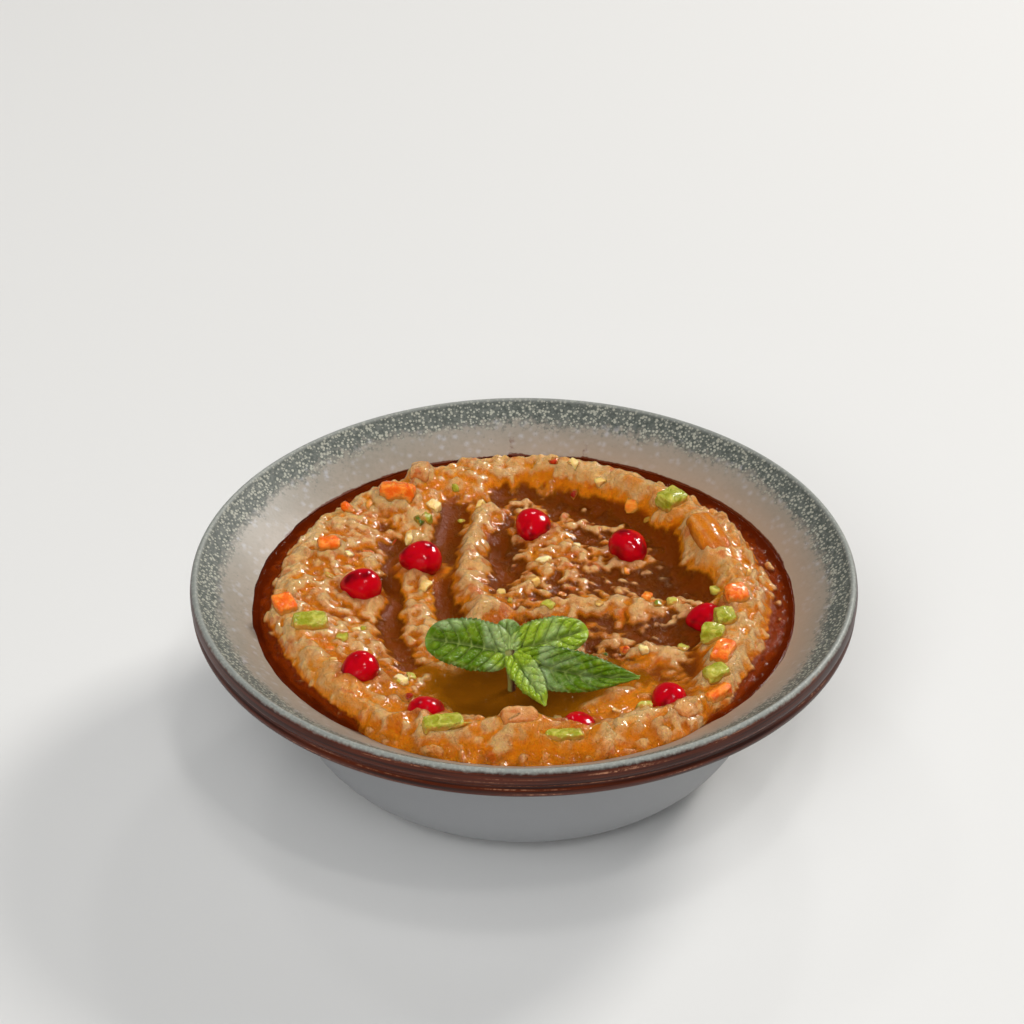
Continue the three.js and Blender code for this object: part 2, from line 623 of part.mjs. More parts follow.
SEEDS.forEach((seed, i) => {
  addPiece(`pomegranate_seed_${i + 1}`, setOnDip(seedGeometry(seed), seed), "pomegranate");
});
for (const dice of DICE) addPiece(dice.name, setOnDip(diceGeometry(dice), dice), dice.name.split("_")[0]);
addPiece("mint_sprig", geometryFrom(sprig()), "mint");

export default dish;
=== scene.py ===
"""Baba ganoush in its bowl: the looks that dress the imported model.

A wide-rimmed stoneware bowl holds a chunky aubergine dip. A spoon has left a raised swirl with a hollow of
oil in it. Pomegranate seeds, diced vegetables and a sprig of mint lie on it.

Every size here is in millimetres and becomes metres when a mesh is made. +Z is up, +Y is the back of the dish
as it is served and +X its right-hand side. Bearings are in degrees, counter-clockwise from +X.
"""

from __future__ import annotations

import json
import logging
import math
from collections.abc import Iterator
from dataclasses import dataclass, field
from enum import Enum

import bpy
import numpy as np
from mathutils import Euler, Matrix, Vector

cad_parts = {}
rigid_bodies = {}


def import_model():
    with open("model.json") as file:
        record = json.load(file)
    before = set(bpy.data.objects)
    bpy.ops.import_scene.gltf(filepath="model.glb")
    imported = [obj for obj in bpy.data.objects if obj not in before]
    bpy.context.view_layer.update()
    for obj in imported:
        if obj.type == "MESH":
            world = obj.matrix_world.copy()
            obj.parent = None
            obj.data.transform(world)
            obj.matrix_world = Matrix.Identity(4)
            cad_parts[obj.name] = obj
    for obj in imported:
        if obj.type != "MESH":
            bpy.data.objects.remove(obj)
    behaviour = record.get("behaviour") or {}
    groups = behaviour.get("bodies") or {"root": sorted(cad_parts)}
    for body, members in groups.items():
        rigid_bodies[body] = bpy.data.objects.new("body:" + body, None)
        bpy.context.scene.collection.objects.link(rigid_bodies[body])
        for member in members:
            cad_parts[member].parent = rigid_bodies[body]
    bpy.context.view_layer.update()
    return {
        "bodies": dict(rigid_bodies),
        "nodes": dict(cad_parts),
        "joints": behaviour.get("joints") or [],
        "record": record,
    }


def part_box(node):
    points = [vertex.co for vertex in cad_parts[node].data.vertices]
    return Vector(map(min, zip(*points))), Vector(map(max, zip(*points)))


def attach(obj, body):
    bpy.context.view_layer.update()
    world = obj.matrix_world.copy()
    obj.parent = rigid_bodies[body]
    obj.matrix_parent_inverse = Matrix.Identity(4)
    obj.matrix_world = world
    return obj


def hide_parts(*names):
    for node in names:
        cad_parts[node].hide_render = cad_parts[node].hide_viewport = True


LOG = logging.getLogger("baba_ganoush")
MM = 0.001
BODY = "root"
Array = np.ndarray
Colour = tuple[float, float, float]


# ---------------------------------------------------------------- numbers


def colour(code: str) -> Colour:
    """Turns a web colour into linear red, green and blue.

    Args:
        code: six hexadecimal digits after a hash.

    Returns:
        The colour as Blender's shaders take it.
    """
    shares = [int(code[i : i + 2], 16) / 255 for i in (1, 3, 5)]
    linear = [s / 12.92 if s <= 0.04045 else ((s + 0.055) / 1.055) ** 2.4 for s in shares]
    return (linear[0], linear[1], linear[2])


def ease(share: Array) -> Array:
    """Smooth step from 0 to 1 as share goes from 0 to 1."""
    held = np.clip(share, 0.0, 1.0)
    return held * held * (3 - 2 * held)


def lerp(low: Array | float, high: Array | float, share: Array | float) -> Array:
    """Mix of low and high."""
    return low + (high - low) * share


def hashed(i: Array, j: Array, seed: float = 0.0) -> Array:
    """Repeatable random numbers from 0 to 1 for the corners of a grid."""
    value = np.sin(i * 127.1 + j * 311.7 + seed * 74.7) * 43758.5453
    return value - np.floor(value)


def soft_noise(x: Array, y: Array, seed: float = 0.0) -> Array:
    """Smooth noise from -1 to 1, with one bump or dip about every unit.

    Args:
        x: first coordinate.
        y: second coordinate.
        seed: which of many patterns.

    Returns:
        The noise at each place.
    """
    i, j = np.floor(x), np.floor(y)
    u, v = ease(x - i), ease(y - j)
    near = lerp(hashed(i, j, seed), hashed(i + 1, j, seed), u)
    far = lerp(hashed(i, j + 1, seed), hashed(i + 1, j + 1, seed), u)
    return 2 * lerp(near, far, v) - 1


def rough_noise(x: Array, y: Array, octaves: int, seed: float = 0.0) -> Array:
    """Sum of octaves of soft_noise, each half as large and half as high, from about -1 to 1.

    Args:
        x: first coordinate.
        y: second coordinate.
        octaves: how many are summed.
        seed: which of many patterns.

    Returns:
        The noise at each place.
    """
    total = np.zeros_like(x)
    for octave in range(octaves):
        total += soft_noise(x * 2**octave, y * 2**octave, seed + octave) / 2**octave
    return total / (2 - 2.0 ** (1 - octaves))


def cell_noise(x: Array, y: Array, seed: float = 0.0) -> tuple[Array, Array, Array]:
    """Pebble pattern with one scattered point to each unit square.

    Args:
        x: first coordinate.
        y: second coordinate.
        seed: which of many patterns.

    Returns:
        Distances to the nearest point and to the next one, and the nearest point's own random number.
    """
    near = np.full(x.shape, 9.0)
    after = np.full(x.shape, 9.0)
    owner = np.zeros(x.shape)
    for di in (-1, 0, 1):
        for dj in (-1, 0, 1):
            i, j = np.floor(x) + di, np.floor(y) + dj
            away = np.hypot(i + hashed(i, j, seed) - x, j + hashed(i, j, seed + 5) - y)
            closer = away < near
            after = np.where(closer, near, np.minimum(after, away))
            owner = np.where(closer, hashed(i, j, seed + 9), owner)
            near = np.where(closer, away, near)
    return near, after, owner


def spline_through(points: list[tuple[float, float]], steps: int) -> Array:
    """Smooth curve through points, as steps straight pieces.

    Args:
        points: places that the curve passes through.
        steps: number of pieces, evenly shared between the gaps.

    Returns:
        steps + 1 places along the curve.
    """
    held = np.array(points, float)
    last = len(held) - 1
    found = []
    for step in range(steps + 1):
        along = last * step / steps
        i = min(int(along), last - 1)
        t = along - i
        before, start, end = held[max(i - 1, 0)], held[i], held[i + 1]
        beyond = held[min(i + 2, last)]
        leave, arrive = (end - before) / 2, (beyond - start) / 2
        cubic = (2 * start - 2 * end + leave + arrive) * t**3
        square = (-3 * start + 3 * end - 2 * leave - arrive) * t**2
        found.append(cubic + square + leave * t + start)
    return np.array(found)


def bezier(points: list[tuple[float, float]], steps: int) -> list[tuple[float, float]]:
    """Points of a Bezier curve of any degree.

    Args:
        points: its control points.
        steps: number of straight pieces.

    Returns:
        steps + 1 places from the first control point to the last.
    """
    degree = len(points) - 1
    found = []
    for step in range(steps + 1):
        t = step / steps
        weights = [math.comb(degree, k) * t**k * (1 - t) ** (degree - k) for k in range(degree + 1)]
        found.append(tuple(sum(w * p[axis] for w, p in zip(weights, points)) for axis in (0, 1)))
    return found


def blurred(values: Array, reach: int) -> Array:
    """A raster smoothed by three passes of a square brush.

    Args:
        values: the raster.
        reach: cells that the brush reaches out from its middle.

    Returns:
        The smoothed raster, of the same shape.
    """
    width = 2 * reach + 1
    for _ in range(3):
        for axis in (0, 1):
            margins = [(reach + 1, reach) if a == axis else (0, 0) for a in (0, 1)]
            padded = np.pad(values, margins, mode="edge")
            total = np.cumsum(padded, axis=axis)
            high = np.take(total, range(width, total.shape[axis]), axis=axis)
            low = np.take(total, range(0, total.shape[axis] - width), axis=axis)
            values = (high - low) / width
    return values


def soft_max(first: Array, second: Array, blend: float) -> Array:
    """The larger of two rasters, rounded off where they cross over a height of blend."""
    share = np.clip(0.5 + 0.5 * (first - second) / blend, 0, 1)
    return lerp(second, first, share) + blend * share * (1 - share)


def bell(value: Array, middle: Array | float, reach: float) -> Array:
    """A smooth rise to 1 where value is at middle."""
    return np.exp(-(((value - middle) / reach) ** 2))


def wane(share: Array, start: float, reach: float) -> Array:
    """1 up to start, and then a smooth fall over about that reach."""
    return np.exp(-((np.clip(share - start, 0, None) / reach) ** 2))


def bearing_of(x: Array, y: Array) -> Array:
    """Bearing of each place from the bowl's middle, in degrees."""
    return np.degrees(np.arctan2(y, x))


def away_from(bearing: Array, middle: float) -> Array:
    """Degrees from a middle bearing round to each bearing, from -180 to 180."""
    return (bearing - middle + 540) % 360 - 180


# ---------------------------------------------------------------- shader graph


class Value:
    """A shader socket that can be used in sums, so that the shader's maths reads as maths."""

    def __init__(self, graph: Graph, socket: bpy.types.NodeSocket) -> None:
        """Wraps a node's output socket."""
        self.graph = graph
        self.socket = socket

    def __add__(self, other: Value | float) -> Value:
        """Sum."""
        return self.graph.math("ADD", self, other)

    def __sub__(self, other: Value | float) -> Value:
        """Difference."""
        return self.graph.math("SUBTRACT", self, other)

    def __rsub__(self, other: float) -> Value:
        """Difference from a number."""
        return self.graph.math("SUBTRACT", other, self)

    def __mul__(self, other: Value | float) -> Value:
        """Product."""
        return self.graph.math("MULTIPLY", self, other)

    __radd__ = __add__
    __rmul__ = __mul__

    def between(self, low: float, high: float) -> Value:
        """Smooth step.

        Args:
            low: where it is 0.
            high: where it is 1.

        Returns:
            The step.
        """
        settings = {"interpolation_type": "SMOOTHSTEP"}
        inputs = {"Value": self, "From Min": low, "From Max": high}
        return self.graph.value("ShaderNodeMapRange", "Result", settings, inputs)

    def held(self) -> Value:
        """The same, kept from 0 to 1."""
        return self.graph.value("ShaderNodeClamp", "Result", {}, {"Value": self})


class Graph:
    """The nodes of one material."""

    def __init__(self, name: str) -> None:
        """Starts a material with no nodes in it.

        Args:
            name: the material's name.
        """
        self.material = bpy.data.materials.new(name)
        self.material.use_nodes = True
        self.tree = self.material.node_tree
        self.tree.nodes.clear()
        self._place: Value | None = None

    @staticmethod
    def _socket(sockets: bpy.types.bpy_prop_collection, key: str) -> bpy.types.NodeSocket:
        """Finds a socket by its identifier, or else by its name.

        Args:
            sockets: a node's inputs or outputs.
            key: the identifier or name.

        Returns:
            The socket.
        """
        for socket in sockets:
            if socket.identifier == key:
                return socket
        return sockets[key]

    def node(self, kind: str, settings: dict, inputs: dict) -> bpy.types.Node:
        """Adds a node.

        Args:
            kind: the node's type.
            settings: its properties, set before its sockets; "stops" holds a ramp's places and colours.
            inputs: numbers, colours or Values for its sockets.

        Returns:
            The new node.
        """
        made = self.tree.nodes.new(kind)
        for key, setting in settings.items():
            if key == "stops":
                elements = made.color_ramp.elements
                while len(elements) < len(setting):
                    elements.new(1.0)
                for element, (place, shade) in zip(elements, setting):
                    element.position = place
                    element.color = (*shade, 1.0)
            else:
                setattr(made, key, setting)
        for key, given in inputs.items():
            socket = self._socket(made.inputs, key)
            if isinstance(given, Value):
                self.tree.links.new(given.socket, socket)
            elif socket.type == "RGBA" and len(given) == 3:
                socket.default_value = (*given, 1.0)
            else:
                socket.default_value = given
        return made

    def value(self, kind: str, output: str, settings: dict, inputs: dict) -> Value:
        """Adds a node and returns one of its outputs."""
        return Value(self, self._socket(self.node(kind, settings, inputs).outputs, output))

    def math(self, operation: str, first: Value | float, second: Value | float) -> Value:
        """Adds a Math node on two numbers."""
        sockets = {"Value": first, "Value_001": second}
        return self.value("ShaderNodeMath", "Value", {"operation": operation}, sockets)

    def mix(self, first: Value | Colour, second: Value | Colour, share: Value | float) -> Value:
        """Mixes two colours.

        Args:
            first: the colour at share 0.
            second: the colour at share 1.
            share: how much of the second.

        Returns:
            The mixed colour.
        """
        settings = {"data_type": "RGBA", "clamp_factor": True}
        inputs = {"Factor_Float": share, "A_Color": first, "B_Color": second}
        return self.value("ShaderNodeMix", "Result_Color", settings, inputs)

    def blend(self, low: float, high: float, share: Value) -> Value:
        """Mixes two numbers."""
        return share * (high - low) + low

    def place(self) -> Value:
        """Place on the piece.

        Returns:
            Its X, Y and Z in millimetres.
        """
        if self._place is None:
            spot = self.value("ShaderNodeTexCoord", "Object", {}, {})
            scale = {"Vector": spot, "Scale": 1 / MM}
            self._place = self.value("ShaderNodeVectorMath", "Vector", {"operation": "SCALE"}, scale)
        return self._place

    def axes(self) -> tuple[Value, Value, Value]:
        """Place on the piece along X, Y and Z, in millimetres."""
        split = self.node("ShaderNodeSeparateXYZ", {}, {"Vector": self.place()})
        return tuple(Value(self, split.outputs[axis]) for axis in "XYZ")

    def stretched(self, sizes: tuple[float, float, float]) -> Value:
        """Place on the piece, measured in units of sizes along X, Y and Z."""
        shares = {"Vector": self.place(), "Vector_001": tuple(1 / size for size in sizes)}
        return self.value("ShaderNodeVectorMath", "Vector", {"operation": "MULTIPLY"}, shares)

    def noise(self, size: float, detail: float = 2.0, rough: float = 0.5, warp: float = 0.0) -> Value:
        """Noise from 0 to 1 with features of a size in millimetres."""
        inputs = {"Vector": self.place(), "Scale": 1 / size, "Detail": detail}
        return self.value("ShaderNodeTexNoise", "Fac", {}, inputs | {"Roughness": rough, "Distortion": warp})

    def streaks(self, sizes: tuple[float, float, float], detail: float = 2.0) -> Value:
        """Noise from 0 to 1 drawn out to three sizes in millimetres."""
        inputs = {"Vector": self.stretched(sizes), "Scale": 1.0, "Detail": detail}
        return self.value("ShaderNodeTexNoise", "Fac", {}, inputs)

    def cells(self, size: float, output: str = "Distance") -> Value:
        """Cells of a size in millimetres: the Distance from a cell's middle, or its random Color."""
        inputs = {"Vector": self.place(), "Scale": 1 / size}
        return self.value("ShaderNodeTexVoronoi", output, {"feature": "F1"}, inputs)

    def attribute(self, name: str) -> Value:
        """A number stored on the mesh."""
        return self.value("ShaderNodeAttribute", "Fac", {"attribute_name": name}, {})

    def bump(self, height: Value, rise: float, strength: float = 1.0, under: Value | None = None) -> Value:
        """Normals of a relief.

        Args:
            height: the relief, from 0 to 1.
            rise: how many millimetres it rises.
            strength: how much of it shows.
            under: another bump that it lies on.

        Returns:
            The normals.
        """
        inputs = {"Height": height, "Distance": rise * MM, "Strength": strength}
        if under is not None:
            inputs["Normal"] = under
        return self.value("ShaderNodeBump", "Normal", {}, inputs)

    def finish(self, inputs: dict) -> bpy.types.Material:
        """Adds the Principled shader and closes the material.

        Args:
            inputs: the shader's sockets.

        Returns:
            The material.
        """
        shader = self.value("ShaderNodeBsdfPrincipled", "BSDF", {}, inputs)
        self.node("ShaderNodeOutputMaterial", {}, {"Surface": shader})
        return self.material


# ---------------------------------------------------------------- finishes


@dataclass(frozen=True)
class Glaze:
    """Reactive glaze: off-white inside, a speckled grey-green rim, a brown lip, a grey darkened as painted
    shade below.
    """

    wall: Colour = colour("#908A7F")
    wall_cool: Colour = colour("#A8AAAE")
    wall_shade: Colour = colour("#807D72")
    band: Colour = colour("#666A64")
    band_deep: Colour = colour("#4B514C")
    speck: Colour = colour("#ADAD9E")
    edge: Colour = colour("#979A94")
    lip: Colour = colour("#4E1C06")
    lip_deep: Colour = colour("#280C04")
    lip_worn: Colour = colour("#AE7A5C")
    # body: the underside's white glaze given a grey, as painted shade.
    body: Colour = colour("#969799")
    warm: Colour = colour("#A48C76")
    stain: Colour = colour("#5A2406")

    def material(self) -> bpy.types.Material:
        """Builds the material.

        It reads three attributes: "along", millimetres from the rim's top and above 0 outside, "smudge", the
        sauce on the wall, and "tinge", a warm tint low on the wall.

        Returns:
            The material.
        """
        g = Graph("glaze")
        along = g.attribute("along")
        cloud = g.noise(9.0, 3.0)
        grain = g.noise(0.9, 3.0, 0.7)
        milk = (1 - g.cells(2.4).between(0.1, 0.5)) * g.noise(3.0, 2.0).between(0.35, 0.6)
        wall = g.mix(self.wall, self.wall_shade, cloud.between(0.4, 0.7) * 0.5)
        wall = g.mix(wall, self.wall_cool, milk * 0.75)
        wall = g.mix(wall, self.wall_shade, (g.noise(1.3, 3.0, 0.7).between(0.45, 0.65) * 0.6).held())
        fleck = (1 - g.cells(1.9).between(0.10, 0.17)) * g.noise(7.0).between(0.5, 0.62)
        wall = g.mix(wall, self.band, fleck * 0.6)
        wall = g.mix(wall, self.warm, (g.attribute("tinge") * 0.9).held())
        smudge = (g.attribute("smudge") + (g.noise(1.2, 3.0) - 0.5) * 0.5).between(0.35, 0.65)
        wall = g.mix(wall, self.stain, smudge)

        dark = g.mix(self.band_deep, self.band, g.noise(1.1, 3.0, 0.7).between(0.35, 0.65))
        speck_size = g.value("ShaderNodeSeparateColor", "Red", {}, {"Color": g.cells(0.85, "Color")})
        speck = 1 - (g.cells(0.85) - speck_size * 0.3).between(0.1, 0.34)
        ragged = along + (g.noise(1.3, 3.0, 0.7) - 0.5) * 9 + (g.noise(14.0) - 0.5) * 5
        in_band = ragged.between(-9.0, -4.8)
        band = g.mix(dark, self.speck, speck * g.blend(0.9, 0.75, along.between(-6.0, -1.0)))
        top = g.mix(wall, band, in_band)
        top = g.mix(top, self.edge, along.between(-1.3, -0.3) * 0.75)

        lines = g.streaks((30.0, 30.0, 0.55), 3.0)
        spots = g.noise(1.2, 3.0, 0.7)
        lip = g.mix(self.lip_deep, self.lip, lines.between(0.38, 0.6))
        lip = g.mix(lip, self.lip_worn, lines.between(0.6, 0.72) * spots.between(0.4, 0.65))
        shade = g.mix(top, lip, (along + (spots - 0.5) * 1.2).between(0.5, 1.5))
        shade = g.mix(shade, self.body, (along + (spots - 0.5) * 0.8).between(9.1, 9.7))

        pits = g.bump(g.noise(0.7, 3.0), 0.05, 0.5)
        waves = g.bump(g.noise(12.0, 1.0), 0.35, 0.4, pits)
        rough = g.blend(0.3, 0.46, in_band * (1 - along.between(-1.0, 0.5)) + grain * 0.25)
        return g.finish(
            {"Base Color": shade, "Roughness": rough + 0.08, "Normal": waves, "Specular IOR Level": 0.3}
        )


@dataclass(frozen=True)
class Pulp:
    """Wet aubergine pulp: pale soft clumps that stand out of a smooth film of amber oil."""

    name: str
    pale: Colour = colour("#FFC680")
    tan: Colour = colour("#DA7A16")
    gold: Colour = colour("#F8920E")
    olive: Colour = colour("#A88024")
    rust: Colour = colour("#B8480E")
    ember: Colour = colour("#DE5C10")
    film: Colour = colour("#B25602")
    # deep: oil gathered in hollows and creases, darkened further as painted shade.
    deep: Colour = colour("#662802")
    stain: Colour = colour("#7C2A04")

    def material(self) -> bpy.types.Material:
        """Builds the material.

        It reads six attributes, each from 0 to 1: "pale", partly painted light on the tops of lumps, "gold",
        "wet" for the film's depth, "deep" for hollows and creases, darkened partly for the oil in them and
        partly as painted shade, "stain" for the brown oil at the wall, and "rosy" for the juice round the
        seeds.

        Returns:
            The material.
        """
        g = Graph(self.name)
        pale, gold, wet, deep, stain, rosy = (
            g.attribute(name) for name in ("pale", "gold", "wet", "deep", "stain", "rosy")
        )
        mottle = g.noise(2.4, 3.0, 0.6, 0.6)
        grain = g.noise(0.7, 3.0, 0.7)
        speckle = g.noise(1.2, 2.0, 0.6, 0.4)
        clump = g.node("ShaderNodeSeparateColor", {}, {"Color": g.cells(2.8, "Color")})
        pick = [Value(g, clump.outputs[name]) for name in ("Red", "Green")]
        fair = (pale + (mottle - 0.5) * 0.6 + (speckle - 0.5) * 0.9).between(0.0, 1.0)
        shade = g.mix(self.tan, self.pale, fair)
        shade = g.mix(shade, self.olive, pick[0].between(0.76, 0.9) * grain.between(0.3, 0.6) * 0.15)
        shade = g.mix(shade, self.rust, pick[1].between(0.86, 0.94) * grain.between(0.3, 0.6) * 0.3)
        shade = g.mix(shade, self.gold, (gold + (mottle - 0.5) * 0.9).between(0.2, 1.1) * 0.95)
        shade = g.mix(shade, self.ember, g.noise(4.5, 2.0, 0.5, 0.5).between(0.6, 0.72) * 0.55)
        soaked = (wet + (grain - 0.5) * 0.3).between(0.05, 0.95)
        shade = g.mix(shade, self.film, soaked * 0.9)
        shade = g.mix(shade, self.stain, (stain + (mottle - 0.5) * 0.8).between(0.3, 0.8))
        shade = g.mix(shade, self.rust, rosy * 0.7)
        # Painted shade, over the oil gathered there: hollows, creases and shadow patches go dark brown.
        shade = g.mix(shade, self.deep, (deep + (grain - 0.5) * 0.25).between(0.25, 1.0) * 0.9)
        fibre = g.bump(g.noise(0.55, 3.0, 0.7), 1.1, 1.0)
        relief = g.bump(g.noise(1.2, 3.0, 0.7, 1.0), 2.6, 1.0, fibre)
        dry = (1 - soaked).held()
        ripples = g.bump(g.noise(2.2, 3.0), 0.8, 0.8)
        reliefs = {"Factor_Float": dry * 0.75 + 0.25, "A_Vector": ripples, "B_Vector": relief}
        calm = g.value("ShaderNodeMix", "Result_Vector", {"data_type": "VECTOR"}, reliefs)
        return g.finish(
            {
                "Base Color": shade,
                "Roughness": g.blend(0.14, 0.22, dry),
                "Normal": calm,
                "Subsurface Weight": 0.7,
                "Subsurface Radius": (1.0, 0.6, 0.3),
                "Subsurface Scale": 1.1 * MM,
                "Coat Weight": (g.blend(0.2, 0.7, dry) - deep * 0.5 - stain * 0.6).held(),
                "Coat Roughness": 0.08,
                "Specular IOR Level": 0.15,
            }
        )


class Flesh(Enum):
    """Kinds of diced vegetable, each with its main shade and the shade of its thin or worn places."""

    CARROT = ("#E8640C", "#F79A38")
    CELERY = ("#94961A", "#C4BE54")
    ONION = ("#EABE6C", "#FFE2A4")
    RED_PEPPER = ("#8E1808", "#C23A14")
    HERB = ("#4D6418", "#7E8C2A")


@dataclass(frozen=True)
class Vegetable:
    """Wet diced vegetable, lightly see-through and smeared with sauce."""

    kind: Flesh
    sauce: Colour = colour("#BC7A30")

    def material(self) -> bpy.types.Material:
        """Builds the material.

        It reads two attributes: "pale", one number for each piece, and "wet", how much sauce covers it.

        Returns:
            The material.
        """
        g = Graph("vegetable_" + self.kind.name.lower())
        main, worn = (colour(code) for code in self.kind.value)
        mottle = g.noise(1.8, 3.0, 0.6, 0.5)
        shade = g.mix(main, worn, (mottle + (g.attribute("pale") - 0.5) * 0.6).between(0.35, 0.7))
        smear = (g.attribute("wet") + (g.noise(1.5, 3.0, 0.6, 0.8) - 0.5) * 1.1).between(0.35, 0.75)
        shade = g.mix(shade, self.sauce, smear * 0.85)
        fibre = g.bump(g.noise(0.6, 3.0, 0.7), 0.2, 0.8)
        rise = 0.35 if self.kind is Flesh.ONION else 0.8
        relief = g.bump(g.noise(1.8, 2.0, 0.6, 0.6), rise, 0.8, fibre)
        return g.finish(
            {
                "Base Color": shade,
                "Roughness": g.blend(0.32, 0.2, mottle),
                "Normal": relief,
                "Subsurface Weight": 0.85,
                "Subsurface Radius": (1.0, 0.6, 0.2),
                "Subsurface Scale": 1.8 * MM,
                "Coat Weight": 0.6,
                "Coat Roughness": 0.1,
                "Specular IOR Level": 0.2,
            }
        )


@dataclass(frozen=True)
class Aril:
    """Pomegranate seed: clear ruby juice in a thin wet skin."""

    juice: Colour = colour("#D60018")
    deep: Colour = colour("#6C000A")

    def material(self) -> bpy.types.Material:
        """Builds the material.

        Returns:
            The material.
        """
        g = Graph("pomegranate")
        shade = g.mix(self.juice, self.deep, g.noise(3.5, 1.0).between(0.45, 0.8))
        return g.finish(
            {
                "Base Color": shade,
                "Roughness": 0.08,
                "Specular IOR Level": 0.35,
                "Transmission Weight": 0.3,
                "Normal": g.bump(g.noise(2.2, 1.0), 0.35, 0.5),
                "Subsurface Weight": 0.85,
                "Subsurface Radius": (1.0, 0.06, 0.08),
                "Subsurface Scale": 3.5 * MM,
            }
        )


@dataclass(frozen=True)
class Oil:
    """Cooking oil that has taken the spices' colour."""

    name: str
    thin: Colour
    deep: Colour
    clear: float
    dense: float

    def material(self) -> bpy.types.Material:
        """Builds the material.

        It reads the attribute "depth", from 0 at the shore to 1.

        Returns:
            The material.
        """
        g = Graph(self.name)
        depth = (g.attribute("depth") + (g.noise(3.0, 3.0, 0.6) - 0.5) * 0.6).held()
        return g.finish(
            {
                "Base Color": g.mix(self.thin, self.deep, depth),
                "Alpha": g.blend(self.clear, self.dense, depth),
                "Roughness": 0.1,
                "Normal": g.bump(g.noise(2.6, 3.0), 0.5, 0.7),
                "Specular IOR Level": 0.06,
            }
        )


@dataclass(frozen=True)
class MintLeaf:
    """Mint leaf: fresh green between pale veins, with a painted sheen and painted shade in its hollows."""

    blade: Colour = colour("#547606")
    young: Colour = colour("#96B02A")
    # bloom: pale bluish green for a painted sheen, the leaf's glossy reflection.
    painted_sheen: Colour = colour("#B4C896")
    shade: Colour = colour("#223C02")
    vein: Colour = colour("#C0D074")

    def material(self) -> bpy.types.Material:
        """Builds the material.

        It reads three attributes, each from 0 to 1: "vein", "hollow" for painted shade in the hollows, and
        "young".

        Returns:
            The material.
        """
        g = Graph("mint_leaf")
        vein, hollow, young = (g.attribute(name) for name in ("vein", "hollow", "young"))
        blade = g.mix(self.blade, self.young, (young + (g.noise(3.0, 3.0) - 0.5) * 1.1).between(0.1, 0.9))
        # Painted sheen: large soft patches of pale bluish green.
        blade = g.mix(blade, self.painted_sheen, g.noise(8.0, 2.0, 0.5, 0.6).between(0.48, 0.66) * 0.5)
        # Painted shade: the blade goes dark green in the hollows between its puckers.
        blade = g.mix(blade, self.shade, hollow * 0.8)
        blade = g.mix(blade, self.vein, vein * 0.6)
        relief = g.bump(g.cells(0.75), 0.12, 0.5)
        return g.finish(
            {
                "Base Color": blade,
                "Roughness": g.blend(0.34, 0.5, vein),
                "Normal": relief,
                "Specular IOR Level": 0.45,
                "Subsurface Weight": 0.2,
                "Subsurface Radius": (0.4, 1.0, 0.2),
                "Subsurface Scale": 0.6 * MM,
            }
        )


@dataclass(frozen=True)
class MintStem:
    """Mint stem: purple-brown on one side and green on the other."""

    dark: Colour = colour("#4A2A1E")
    light: Colour = colour("#8C8A4A")

    def material(self) -> bpy.types.Material:
        """Builds the material.

        Returns:
            The material.
        """
        g = Graph("mint_stem")
        x, _, _ = g.axes()
        side = (x + (g.streaks((0.6, 0.6, 6.0)) - 0.5) * 1.5).between(-3.6, -2.4)
        relief = g.bump(g.streaks((0.35, 0.35, 7.0)), 0.15, 0.6)
        shade = g.mix(self.light, self.dark, side)
        return g.finish({"Base Color": shade, "Roughness": 0.4, "Normal": relief})


@dataclass(frozen=True)
class Backdrop:
    """Plain pale studio paper."""

    paper: Colour = (0.7, 0.7, 0.69)

    def material(self) -> bpy.types.Material:
        """Builds the material."""
        g = Graph("backdrop")
        return g.finish({"Base Color": self.paper, "Roughness": 0.7})


# ---------------------------------------------------------------- mesh tools


def deselect_all() -> None:
    """Leaves object mode with nothing selected."""
    if bpy.context.object is not None and bpy.context.object.mode != "OBJECT":
        bpy.ops.object.mode_set(mode="OBJECT")
    bpy.ops.object.select_all(action="DESELECT")


def only(piece: bpy.types.Object) -> None:
    """Makes a piece the only selected object, and the active one.

    Args:
        piece: the piece.
    """
    deselect_all()
    piece.select_set(True)
    bpy.context.view_layer.objects.active = piece


def points_of(piece: bpy.types.Object) -> Array:
    """Vertices of a piece.

    Args:
        piece: the piece.

    Returns:
        Rows of X, Y and Z in millimetres.
    """
    flat = np.zeros(len(piece.data.vertices) * 3)
    piece.data.vertices.foreach_get("co", flat)
    return flat.reshape(-1, 3) / MM


def set_points(piece: bpy.types.Object, points: Array) -> None:
    """Moves the vertices of piece to rows of X, Y and Z in millimetres."""
    piece.data.vertices.foreach_set("co", (points * MM).ravel())
    piece.data.update()


def set_attribute(piece: bpy.types.Object, name: str, values: Array) -> None:
    """Stores a number on each vertex of piece."""
    layer = piece.data.attributes.get(name) or piece.data.attributes.new(name, "FLOAT", "POINT")
    layer.data.foreach_set("value", np.asarray(values, float).ravel())


def close_up(piece: bpy.types.Object) -> None:
    """Merges doubled vertices and turns every face outwards.

    Args:
        piece: the piece.
    """
    only(piece)
    bpy.ops.object.mode_set(mode="EDIT")
    bpy.ops.mesh.select_all(action="SELECT")
    bpy.ops.mesh.remove_doubles(threshold=0.02 * MM)
    bpy.ops.mesh.normals_make_consistent(inside=False)
    bpy.ops.object.mode_set(mode="OBJECT")


def apply_modifier(piece: bpy.types.Object, kind: str, settings: dict) -> None:
    """Adds a modifier to a piece and applies it.

    Args:
        piece: the piece.
        kind: the modifier's type.
        settings: its properties.
    """
    only(piece)
    modifier = piece.modifiers.new(kind.lower(), kind)
    for key, setting in settings.items():
        setattr(modifier, key, setting)
    bpy.ops.object.modifier_apply(modifier=modifier.name)


